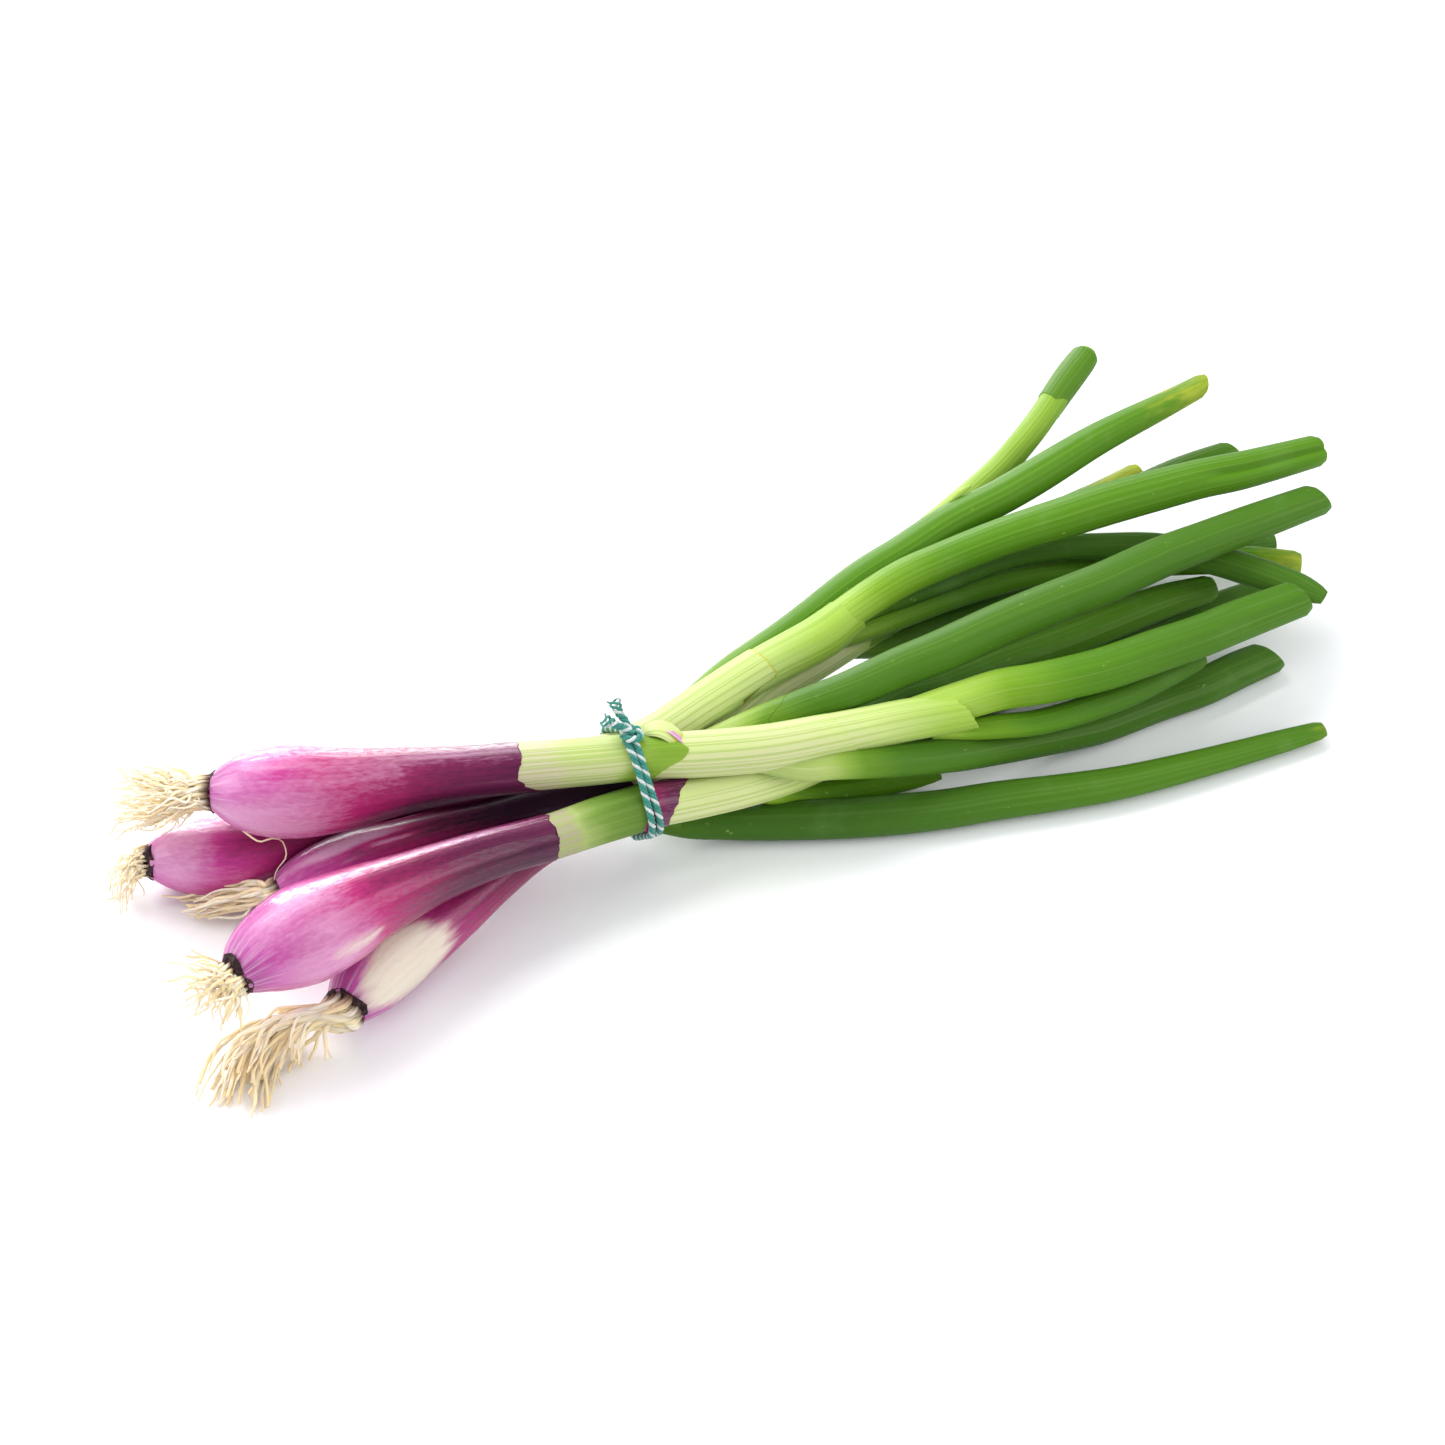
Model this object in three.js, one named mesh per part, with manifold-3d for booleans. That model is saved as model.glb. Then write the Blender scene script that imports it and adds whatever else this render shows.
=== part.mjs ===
// A bunch of five red spring onions held by a twisted twine.
// Millimetres. +X runs from the root ends to the leaf tips, +Z is up, z = 0 is the surface it lies on.
import * as THREE from "three";
import { mergeVertices } from "three/addons/utils/BufferGeometryUtils.js";
import Module from "manifold-3d";

// ---- driving dimensions -------------------------------------------------------------------------
const GAP = 0.3; // clearance left between neighbouring pieces
const TO_MIDDLE = [8.66, -0.26]; // moves the routes so the origin is under the middle of the bunch
const BULB_SIDES = 16;
const STEM_SIDES = 12;
const LEAF_SIDES = 10;
const LEAF_WIDE = 1.04; // half width of a leaf over its stated radius
const LEAF_HIGH = 0.9; // half height of a leaf over its stated radius
const RING_STEP = 15; // spacing of the rings along a leaf or stem
const BULB_RING_STEP = 6.5;
const PLATE_DEPTH = 2.6; // crusty disc that the roots grow from
const ROOT_SIDES = 3;
const ROOT_RING_STEP = 9;
const ROOT_RADIUS = 0.85;
const ROOT_TIP_RADIUS = 0.55;
const TWINE_X = -57; // where the tie goes round the stems
const TWINE_RADIUS = 1.15;
const TWINE_PITCH = 2.4;
const TWINE_TURNS = 2;
const TWINE_SIDES = 6;
const KNOT_RADIUS = 3.2;

// Every route is a few [x, y, z, radius] stations, from the root end towards the leaf tips.
const ONIONS = {
  a: {
    // upper onion, across the top of the bunch
    route: [
      [-177, 16, 39, 5.6], [-168, 12, 39, 12.1], [-156, 6.4, 39, 14.2], [-142, 1.4, 38.6, 12.8],
      [-125, -2.6, 38.5, 10.3], [-107, -7.6, 38.5, 8.5], [-90, -12.6, 38.5, 7.6], [-66, -20, 38, 7.2],
      [-53, -24, 38, 7.1], [-38, -29, 37, 7.3], [-16, -34, 35, 7.4], [3, -36, 33.5, 7.2],
      [16, -37, 32.5, 7], [26, -38, 32, 7], [46, -41, 31, 7],
    ],
    skinEnd: 6,
    roots: { count: 15, reach: [[-186, 20, 38], [-194, 24, 34], [-201, 30, 30]], spread: 9, seed: 11 },
    leaves: {
      1: [[48, -37.4, 32.6, 5.9], [60, -39.4, 33.4, 6.6], [72, -42.6, 33.3, 6.8], [93, -45, 33, 7],
        [114, -45, 33, 7], [129, -45, 33, 6.9], [144, -44, 33, 6.8], [167, -43, 33, 6.2]],
      2: [[48, -43, 24, 3.4], [57, -46, 24, 4], [71, -48, 22, 4.2], [99, -48, 21, 4.4],
        [115, -45, 20, 4.3], [132, -42, 20, 3.8]],
      3: [[-8, -41, 29.5, 4.4], [0, -43, 29, 4.8], [12, -45, 26.5, 5], [23, -45, 23, 5.6], [44, -45, 17, 6],
        [59, -44, 13, 6.2], [81, -44, 9, 6.4], [95, -44, 7, 6.4], [118, -42, 5.3, 6.4],
        [134, -42, 5.1, 6.3], [150, -40, 5, 6.2], [162, -39, 5.1, 5.8]],
    },
  },
  b: {
    // back left onion, its bulb on the surface
    route: [
      [-198, 22, 12.5, 5.2], [-190, 20, 11.8, 10], [-179, 16, 11.5, 12.2], [-169, 13, 11.7, 11.3],
      [-156, 12, 14, 9.2], [-140, 10, 16, 7.6], [-122, 7, 20, 6.7], [-104, 1, 24, 6.5],
      [-86, -3, 26, 6.5], [-62, -9, 28, 6.5], [-48, -11, 30, 6.5], [-27, -7, 33, 6.6],
      [-4, -1, 34, 7], [19, 3, 35.3, 7.5], [30, 6.8, 36.6, 7],
    ],
    skinEnd: 7.2,
    roots: { count: 14, reach: [[-203, 23, 11], [-209, 25, 7], [-214, 23, 2]], spread: 8, seed: 23 },
    leaves: {
      1: [[38, 18, 31, 4], [57, 29, 27.6, 4.6], [72, 38, 27.7, 4.8], [89, 43, 32, 4.8],
        [107, 48, 38, 4.8], [121, 53, 45, 4.8], [141, 66, 50, 4.8], [153, 74, 52, 4.2]],
      2: [[-36, -3, 26.5, 4], [-24, 2, 27, 4.5], [-10, 7, 29, 4.8], [13, 13, 31.4, 5.2],
        [41, 19, 38.6, 5.6], [57, 22, 40.6, 5.8], [76, 26, 43, 5.9], [96, 28, 45.4, 6],
        [112, 31, 47, 6], [136, 36, 49.4, 5.4], [162, 40, 51, 4.5], [180, 43, 52, 3.8]],
      3: [[34, 7.2, 39.4, 5.6], [51, 10, 42, 6], [65, 11, 43, 6], [86, 10, 46, 6.3],
        [107, 8, 48, 6.8], [120, 7, 49, 7], [141, 5, 50, 6.9], [155, 3, 51, 6.6],
        [169, 1, 51, 6.4], [198, -1, 51, 5.4]],
      4: [[34, 7, 35, 3], [43, 9, 34, 3.2], [58, 10, 34, 3.4], [73, 11, 34, 3.6],
        [88, 12, 34, 3.8], [108, 9, 34, 4.2], [121, 5, 33, 4.6], [139, -3, 32, 5],
        [154, -16, 31, 5.2], [165, -28, 30, 5.2], [172, -35, 29, 4.6], [177, -42, 28, 3]],
      5: [[38, 6, 29, 3.8], [50, 9, 27, 4.4], [66, 11, 26, 4.6], [81, 12, 25, 4.6],
        [95, 11, 25, 4.5], [109, 9, 24, 4.5], [122, 6, 23, 4.5], [142, 0, 22, 4.6],
        [167, -9, 21, 4.8], [184, -18, 20, 4.4]],
      6: [[-30, -19, 30, 3.8], [-15, -21, 33, 4.8], [0, -22.5, 35.5, 5.4], [14, -24.5, 38, 6],
        [34, -23, 39, 6.5], [47, -23, 40, 6.8], [69, -21, 41, 7], [91, -20, 42, 7],
        [106, -20, 43, 7], [129, -17, 43, 6.8], [145, -16, 43, 6.5], [168, -15, 43, 6.2],
        [191, -14, 43, 5.6]],
    },
  },
  c: {
    // middle onion, mostly hidden between its neighbours
    route: [
      [-166, -5, 12, 4], [-159, -5, 13, 7], [-151, -5, 13.5, 8.6], [-140, -4, 14, 8.2],
      [-127, -5, 15, 7], [-114, -6, 16, 6.2], [-96, -10, 18, 6], [-78, -14, 21, 6.1],
      [-59, -17, 22, 6.1], [-51, -17, 22, 6.1], [-30, -12, 21.5, 6.2], [-2, -1, 23, 6.2],
      [22, 5.5, 23.5, 6], [42, 12.5, 21.5, 5.4],
    ],
    skinEnd: 8.2,
    roots: { count: 11, reach: [[-174, -4, 11], [-183, -2, 8], [-197, 2, 4]], spread: 5, seed: 37 },
    leaves: {
      1: [[46, 16, 17, 4], [73, 24, 16, 4.2], [100, 32, 17, 4.2], [125, 38, 20, 4.2],
        [142, 40, 21, 4], [158, 43, 22, 3.3]],
      2: [[46, 11, 22, 3.6], [69, 20, 21, 4.2], [93, 24, 24, 4.4], [118, 26, 28, 4.5],
        [149, 27, 31, 4.5], [164, 28, 32, 4.5], [185, 28, 33, 4]],
      3: [[46, 12, 13, 4], [61, 14, 12, 4.5], [84, 15, 11, 4.5], [107, 17, 11, 4.5],
        [130, 17, 11, 4.5], [151, 14, 10, 4.3], [171, 9, 10, 4], [189, 4, 10, 3.4]],
    },
  },
  d: {
    // front onion, its bulb held up against its neighbour
    route: [
      [-194, -53, 36, 6], [-186, -50, 36.6, 11.2], [-173, -47.7, 37.3, 14.6], [-160, -45.7, 37.3, 13.7],
      [-152, -43.7, 36.8, 12.2], [-139, -40.7, 35.3, 10.2], [-126, -37.7, 33.3, 8.7], [-106, -34.7, 30.2, 7.4],
      [-88, -34, 28, 6.9], [-72, -33, 27, 7.1], [-57, -33, 26, 7.1], [-40, -34, 24, 6.9],
      [-26, -34, 22, 6.8], [-8, -32, 19, 6.8], [8, -29, 17, 6.6],
    ],
    skinEnd: 8,
    roots: { count: 14, reach: [[-198, -54, 35], [-203, -54, 32], [-208, -52, 27]], spread: 10, seed: 47 },
    leaves: {
      1: [[2, -27, 18.5, 5], [13, -24, 18, 5.2], [38, -16, 18, 5.6], [52, -17, 18, 5.8], [74, -15, 17, 6.1],
        [97, -14, 16.5, 6.2], [112, -13, 16.5, 6.2], [136, -11, 16, 5.8], [155, -12, 16, 4.4]],
      2: [[12, -27, 11, 3.6], [36, -22, 7, 4.3], [74, -17, 4.1, 4.6], [112, -15, 3.8, 4.6],
        [136, -13, 3.7, 4.6], [157, -10, 3.8, 4.6], [182, -9, 4, 3.8]],
      3: [[-8, -32, 9, 4], [3, -33, 6, 4.5], [22, -36, 5, 4.6], [38, -41, 5, 3.4]],
    },
  },
  e: {
    // front right onion, its bulb on the surface under the front one
    route: [
      [-164, -57, 11.5, 6.5], [-156, -51, 11.6, 10.5], [-147, -45, 11.3, 11.8], [-135, -41, 12, 10.3],
      [-122, -37, 13, 8.5], [-105, -30.2, 14, 6.9], [-88, -24, 14.3, 6], [-69, -22, 14.2, 5.7],
      [-53, -24, 12.8, 5.6], [-44, -27.6, 10.5, 5.7],
    ],
    skinEnd: 8.3,
    roots: {
      count: 16,
      reach: [[-178, -56, 12], [-189, -55, 9], [-199, -59, 5], [-206, -70, 2]],
      spread: 7,
      seed: 53,
    },
    leaves: {
      1: [[-41, -29, 8, 5.4], [-31, -32, 6.6, 5.8], [-20, -36, 5.8, 6.2], [8, -47, 5.6, 6.6],
        [33, -55, 5.6, 6.4], [51, -59, 5.6, 6.2], [70, -64, 5.6, 5.8], [89, -68, 5.4, 5.4],
        [116, -71, 5, 4.6], [145, -73, 4.5, 3.8], [160, -74, 4.5, 3]],
    },
  },
};
// The order in which pieces claim their room: each later piece is trimmed clear of the earlier ones.
const LEAF_ORDER = [
  ["b", 3], ["b", 6], ["a", 1], ["b", 2], ["a", 3], ["e", 1], ["b", 1], ["d", 1],
  ["b", 4], ["c", 2], ["a", 2], ["c", 1], ["b", 5], ["c", 3], ["d", 2], ["d", 3],
];

// ---- looks --------------------------------------------------------------------------------------
const LOOKS = {
  bulb: { color: 0xa0376f, roughness: 0.35 },
  stem: { color: 0xdfe4b8, roughness: 0.45 },
  leaf: { color: 0x4f8130, roughness: 0.45 },
  roots: { color: 0xe3c594, roughness: 0.8 },
  twine: { color: 0x2b9483, roughness: 0.85 },
};

// ---- solids from meshes -------------------------------------------------------------------------
const wasm = await Module();
wasm.setup();

/** A solid made from a three.js geometry. */
function toSolid(geometry) {
  const bare = geometry.clone();
  bare.deleteAttribute("normal");
  bare.deleteAttribute("uv");
  const welded = mergeVertices(bare, 1e-4);
  return new wasm.Manifold(new wasm.Mesh({
    numProp: 3,
    vertProperties: new Float32Array(welded.attributes.position.array),
    triVerts: new Uint32Array(welded.index.array),
  }));
}

/** The largest single body of a solid. */
function largest(solid) {
  const bodies = solid.decompose();
  return bodies.reduce((best, body) => (body.volume() > best.volume() ? body : best));
}

/** A named mesh made from a solid. */
function toMesh(solid, name, look) {
  const data = solid.getMesh();
  const geometry = new THREE.BufferGeometry();
  geometry.setAttribute("position", new THREE.BufferAttribute(new Float32Array(data.vertProperties), 3));
  geometry.setIndex(new THREE.BufferAttribute(new Uint32Array(data.triVerts), 1));
  geometry.translate(TO_MIDDLE[0], TO_MIDDLE[1], 0);
  geometry.computeVertexNormals();
  const material = new THREE.MeshStandardMaterial({ ...look, metalness: 0 });
  material.name = look.name;
  const mesh = new THREE.Mesh(geometry, material);
  mesh.name = name;
  return mesh;
}

// ---- strands ------------------------------------------------------------------------------------
/** Position, heading, side and up directions and radius at station number s of a route. */
function along(route, s) {
  const points = route.map((p) => new THREE.Vector3(p[0], p[1], p[2]));
  const curve = new THREE.CatmullRomCurve3(points, false, "centripetal");
  const t = THREE.MathUtils.clamp(s / (route.length - 1), 0, 1);
  const before = curve.getPoint(Math.max(t - 0.004, 0));
  const after = curve.getPoint(Math.min(t + 0.004, 1));
  const heading = after.sub(before).normalize();
  const side = new THREE.Vector3().crossVectors(heading, new THREE.Vector3(0, 0, 1)).normalize();
  const up = new THREE.Vector3().crossVectors(side, heading);
  const i = Math.min(Math.floor(s), route.length - 2);
  const w = s - i;
  const ease = w * w * (3 - 2 * w);
  const mixed = 0.5 * (w + ease);
  const radius = route[i][3] + (route[i + 1][3] - route[i][3]) * mixed;
  return { point: curve.getPoint(t), heading, side, up, radius };
}

/** A closed skin through rings of points, each ring in the same turning sense. */
function skin(rings) {
  const sides = rings[0].length;
  const positions = rings.flat().flatMap((p) => [p.x, p.y, p.z]);
  const index = [];
  for (let k = 0; k + 1 < rings.length; k += 1) {
    for (let j = 0; j < sides; j += 1) {
      const a = k * sides + j;
      const b = k * sides + ((j + 1) % sides);
      index.push(a, a + sides, b, b, a + sides, b + sides);
    }
  }
  const last = (rings.length - 1) * sides;
  for (let j = 1; j + 1 < sides; j += 1) {
    index.push(0, j, j + 1, last, last + j + 1, last + j);
  }
  const geometry = new THREE.BufferGeometry();
  geometry.setAttribute("position", new THREE.Float32BufferAttribute(positions, 3));
  geometry.setIndex(index);
  return toSolid(geometry);
}

/** One ring round a station, `grow` mm larger than the piece and moved `shift` mm along it. */
function ring(at, sides, wide, high, grow, shift) {
  const centre = at.point.clone().addScaledVector(at.heading, shift);
  return Array.from({ length: sides }, (_, j) => {
    const angle = (2 * Math.PI * j) / sides;
    return centre.clone()
      .addScaledVector(at.side, Math.cos(angle) * (at.radius * wide + grow))
      .addScaledVector(at.up, Math.sin(angle) * (at.radius * high + grow));
  });
}

/** A solid strand along a route between two station numbers. */
function strand(route, { from = 0, to = route.length - 1, sides, step, wide = 1, high = 1, grow = 0 }) {
  const length = along(route, from).point.distanceTo(along(route, to).point);
  const count = Math.max(4, Math.round(length / step));
  const rings = [];
  for (let k = 0; k <= count; k += 1) {
    const at = along(route, from + ((to - from) * k) / count);
    const shift = k === 0 ? -grow : k === count ? grow : 0;
    rings.push(ring(at, sides, wide, high, grow, shift));
  }
  return skin(rings);
}

/** A repeatable run of numbers between 0 and 1. */
function numbers(seed) {
  let state = seed * 7919 + 17;
  return () => {
    state = (state * 48271) % 2147483647;
    return state / 2147483647;
  };
}

/** The crusty disc at the end of a bulb and the roots that grow from it, as one body. */
function rootTuft(route, roots) {
  const next = numbers(roots.seed);
  const end = along(route, 0);
  const disc = [[-GAP, 0.98], [-PLATE_DEPTH * 0.6, 0.86], [-PLATE_DEPTH, 0.6]];
  const rings = disc.map(([shift, part]) => ring({ ...end, radius: end.radius * part }, 12, 1, 1, 0, shift));
  let tuft = skin(rings.reverse());
  const path = roots.reach.map((p) => new THREE.Vector3(...p));
  for (let n = 0; n < roots.count; n += 1) {
    const angle = n * 2.4 + next();
    const out = end.radius * 0.72 * Math.sqrt((n + 0.5) / roots.count);
    const offset = new THREE.Vector3()
      .addScaledVector(end.side, Math.cos(angle) * out)
      .addScaledVector(end.up, Math.sin(angle) * out);
    const start = end.point.clone().add(offset).addScaledVector(end.heading, -PLATE_DEPTH * 0.45);
    const reach = 0.55 + 0.45 * next();
    const loose = roots.spread * (0.5 + 0.5 * next());
    const points = [start, start.clone().addScaledVector(end.heading, -PLATE_DEPTH)];
    path.forEach((p, k) => {
      const part = (k + 1) / path.length;
      const target = end.point.clone().lerp(p, reach)
        .addScaledVector(offset, 0.6 * part)
        .addScaledVector(end.side, Math.cos(angle) * loose * part)
        .addScaledVector(end.up, Math.sin(angle) * loose * 0.75 * part);
      target.z = Math.max(target.z, 1.2 + next());
      points.push(target);
    });
    const stations = points.map((p, k) => [
      p.x, p.y, p.z, ROOT_RADIUS + (ROOT_TIP_RADIUS - ROOT_RADIUS) * (k / (points.length - 1)) ** 3,
    ]);
    const root = strand(stations, { sides: ROOT_SIDES, step: ROOT_RING_STEP });
    tuft = tuft.add(root);
  }
  return largest(tuft);
}

// ---- twine --------------------------------------------------------------------------------------
/** Points at equal distances round the outline that a tight loop takes about the stems. */
function tightLoop(stems, offset, count) {
  const cloud = [];
  stems.forEach(({ y, z, r }) => {
    for (let k = 0; k < 120; k += 1) {
      const angle = (2 * Math.PI * k) / 120;
      cloud.push([y + (r + offset) * Math.cos(angle), z + (r + offset) * Math.sin(angle)]);
    }
  });
  cloud.sort((p, q) => p[0] - q[0] || p[1] - q[1]);
  const turn = (o, p, q) => (p[0] - o[0]) * (q[1] - o[1]) - (p[1] - o[1]) * (q[0] - o[0]);
  const half = (list) => list.reduce((hull, p) => {
    while (hull.length > 1 && turn(hull[hull.length - 2], hull[hull.length - 1], p) <= 0) {
      hull.pop();
    }
    hull.push(p);
    return hull;
  }, []);
  const outline = [...half(cloud).slice(0, -1), ...half([...cloud].reverse()).slice(0, -1)];
  const top = outline.reduce((best, p, k) => (p[1] > outline[best][1] ? k : best), 0);
  const loop = [...outline.slice(top), ...outline.slice(0, top + 1)];
  const lengths = [0];
  for (let k = 1; k < loop.length; k += 1) {
    lengths.push(lengths[k - 1] + Math.hypot(loop[k][0] - loop[k - 1][0], loop[k][1] - loop[k - 1][1]));
  }
  const total = lengths[lengths.length - 1];
  return Array.from({ length: count }, (_, n) => {
    const target = (total * n) / count;
    const k = Math.max(1, lengths.findIndex((d) => d >= target));
    const w = (target - lengths[k - 1]) / (lengths[k] - lengths[k - 1]);
    return [0, 1].map((axis) => loop[k - 1][axis] + (loop[k][axis] - loop[k - 1][axis]) * w);
  });
}

/** Two close turns of twine round the stems, the knot on top and its two short ends. */
function twine(stems) {
  const perTurn = 26;
  const loop = tightLoop(stems, GAP + TWINE_RADIUS, perTurn);
  const total = perTurn * TWINE_TURNS;
  const rings = [];
  for (let k = 0; k <= total; k += 1) {
    const [y, z] = loop[k % perTurn];
    const before = loop[(k + perTurn - 1) % perTurn];
    const after = loop[(k + 1) % perTurn];
    const x = TWINE_X + TWINE_PITCH * TWINE_TURNS * (k / total - 0.5);
    const flow = new THREE.Vector3(TWINE_PITCH / perTurn * 2, after[0] - before[0], after[1] - before[1]);
    flow.normalize();
    const side = new THREE.Vector3(1, 0, 0).addScaledVector(flow, -flow.x).normalize();
    const up = new THREE.Vector3().crossVectors(side, flow);
    const at = { point: new THREE.Vector3(x, y, z), heading: flow, side, up, radius: TWINE_RADIUS };
    rings.push(ring(at, TWINE_SIDES, 1, 1, 0, 0));
  }
  const [knotY, knotZ] = loop[0];
  const knot = new THREE.SphereGeometry(KNOT_RADIUS, 10, 7);
  knot.rotateX(Math.PI / 2);
  knot.scale(1.1, 1.15, 0.75);
  knot.translate(TWINE_X, knotY, knotZ + 1.2);
  const tails = [
    [[TWINE_X, knotY, knotZ + 1, 1.2], [TWINE_X - 4, knotY + 2, knotZ + 5, 1.1],
      [TWINE_X - 8, knotY + 4, knotZ + 7, 0.9]],
    [[TWINE_X, knotY, knotZ + 1, 1.2], [TWINE_X - 1, knotY + 5, knotZ + 5, 1.1],
      [TWINE_X - 2, knotY + 9, knotZ + 8, 0.9]],
  ];
  const parts = tails.map((route) => strand(route, { sides: TWINE_SIDES, step: 3 }));
  return parts.reduce((sum, part) => sum.add(part), skin(rings).add(toSolid(knot)));
}

// ---- the bunch ----------------------------------------------------------------------------------
/** The whole bunch as a group of named meshes. */
function bunch() {
  const group = new THREE.Group();
  group.name = "red_spring_onion_bunch";
  const below = toSolid(new THREE.BoxGeometry(700, 500, 60).translate(0, 0, -30));
  let taken = below;

  /** Trim a piece clear of everything placed so far, add it, and claim its room. */
  const place = (name, look, make) => {
    const piece = largest(make(0).subtract(taken));
    group.add(toMesh(piece, name, { ...LOOKS[look], name: look }));
    taken = taken.add(make(GAP));
  };

  const bulb = { sides: BULB_SIDES, step: BULB_RING_STEP };
  const stem = { sides: STEM_SIDES, step: RING_STEP };
  const leaf = { sides: LEAF_SIDES, step: RING_STEP, wide: LEAF_WIDE, high: LEAF_HIGH };
  for (const [key, onion] of Object.entries(ONIONS)) {
    const { route, skinEnd } = onion;
    place(`onion_${key}_bulb`, "bulb", (grow) => strand(route, { ...bulb, to: skinEnd, grow }));
  }
  for (const [key, onion] of Object.entries(ONIONS)) {
    const { route, skinEnd } = onion;
    place(`onion_${key}_stem`, "stem", (grow) => strand(route, { ...stem, from: skinEnd, grow }));
  }
  for (const [key, number] of LEAF_ORDER) {
    const route = ONIONS[key].leaves[number];
    place(`onion_${key}_leaf_${number}`, "leaf", (grow) => strand(route, { ...leaf, grow }));
  }
  for (const [key, onion] of Object.entries(ONIONS)) {
    const tuft = rootTuft(onion.route, onion.roots);
    const piece = largest(tuft.subtract(taken));
    group.add(toMesh(piece, `onion_${key}_roots`, { ...LOOKS.roots, name: "roots" }));
    taken = taken.add(tuft);
  }
  const stems = ["a", "b", "c", "d", "e"].map((key) => {
    const { route } = ONIONS[key];
    const station = route.findIndex((p) => p[0] >= TWINE_X);
    const near = route[station];
    const past = route[station - 1];
    const w = (TWINE_X - past[0]) / (near[0] - past[0]);
    const at = along(route, station - 1 + w);
    return { y: at.point.y, z: at.point.z, r: at.radius };
  });
  group.add(toMesh(largest(twine(stems).subtract(taken)), "twine", { ...LOOKS.twine, name: "twine" }));
  return group;
}

export default bunch();
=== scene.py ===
"""A bunch of five red spring onions held by a twisted twine, lying on a white table.

The bunch lies along +X, roots at -X and cut leaf tips at +X. Sizes are given in millimetres in the
classes below and turned into metres where the meshes are made.
"""

import logging
import math
import random
from collections.abc import Callable, Sequence
from dataclasses import dataclass, field
from enum import Enum

import bpy
from mathutils import Matrix, Vector, noise

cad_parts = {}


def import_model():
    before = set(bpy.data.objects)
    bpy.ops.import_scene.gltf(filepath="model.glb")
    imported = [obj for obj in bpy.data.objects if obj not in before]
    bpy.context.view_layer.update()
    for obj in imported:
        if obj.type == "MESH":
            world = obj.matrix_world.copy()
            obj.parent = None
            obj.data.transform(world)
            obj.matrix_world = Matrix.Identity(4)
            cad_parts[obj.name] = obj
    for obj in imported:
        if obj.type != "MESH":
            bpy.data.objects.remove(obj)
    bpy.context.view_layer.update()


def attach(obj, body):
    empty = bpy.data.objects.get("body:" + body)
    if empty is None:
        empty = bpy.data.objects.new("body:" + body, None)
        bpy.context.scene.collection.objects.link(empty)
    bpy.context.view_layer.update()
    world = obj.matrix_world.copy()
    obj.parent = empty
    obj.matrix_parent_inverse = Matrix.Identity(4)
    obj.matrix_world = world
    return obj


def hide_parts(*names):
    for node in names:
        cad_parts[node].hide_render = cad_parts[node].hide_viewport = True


LOG = logging.getLogger("spring_onions")
MM = 0.001
TO_MIDDLE = Vector((8.66, -0.26, 0.0))  # moves the routes so that the bunch's box is centred, in mm
PAST_END = 999.0  # a distance past the end of every strand, in mm
GROUND = 0.15  # lowest height of any skin above the table, in mm
NEARLY_NOTHING = 1e-9  # stands in for nothing where rounding or a division needs it
MOST_RINGS = 102  # what one subdivide can cut a tube into
CURVE_STEPS = 40  # measuring steps between two stations of a route
SMOOTH_UNDER = 50  # edges flatter than this many degrees are shaded smooth
WALL = 0.1  # wall of a hollow end, as a part of the radius

Station = tuple[float, float, float, float]  # x, y, z and radius, in mm
Colour = tuple[float, float, float, float]  # linear red, green and blue, and alpha


def srgb(code: str) -> Colour:
    """Turn a hex colour into the linear colour that shaders take.

    Args:
        code: Six hex digits, such as "a0376f".

    Returns:
        Linear red, green, blue and an alpha of 1.
    """
    parts = [int(code[i : i + 2], 16) / 255 for i in (0, 2, 4)]
    linear = [c / 12.92 if c <= 0.04045 else ((c + 0.055) / 1.055) ** 2.4 for c in parts]
    return (linear[0], linear[1], linear[2], 1.0)


def ease(low: float, high: float, value: float) -> float:
    """Smooth step of a value.

    Args:
        low: Where it is 0; it may lie above the place where it is 1.
        high: Where it is 1.
        value: What is looked up.

    Returns:
        A part from 0 to 1.
    """
    part = min(max((value - low) / (high - low), 0.0), 1.0)
    return part * part * (3 - 2 * part)


def mix(a: float, b: float, part: float) -> float:
    """Straight-line value between a and b."""
    return a + (b - a) * part


def turned_from(angle: float, turn: float, width: float) -> float:
    """How far an angle in radians is from a turn in degrees, in widths of so many degrees."""
    return math.remainder(math.degrees(angle) - turn, 360.0) / width


# ---- routes -------------------------------------------------------------------------------------


@dataclass(frozen=True)
class Pose:
    """One place along a route: centre, heading, side and up directions, and radius."""

    point: Vector
    heading: Vector
    side: Vector
    up: Vector
    radius: float


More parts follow.
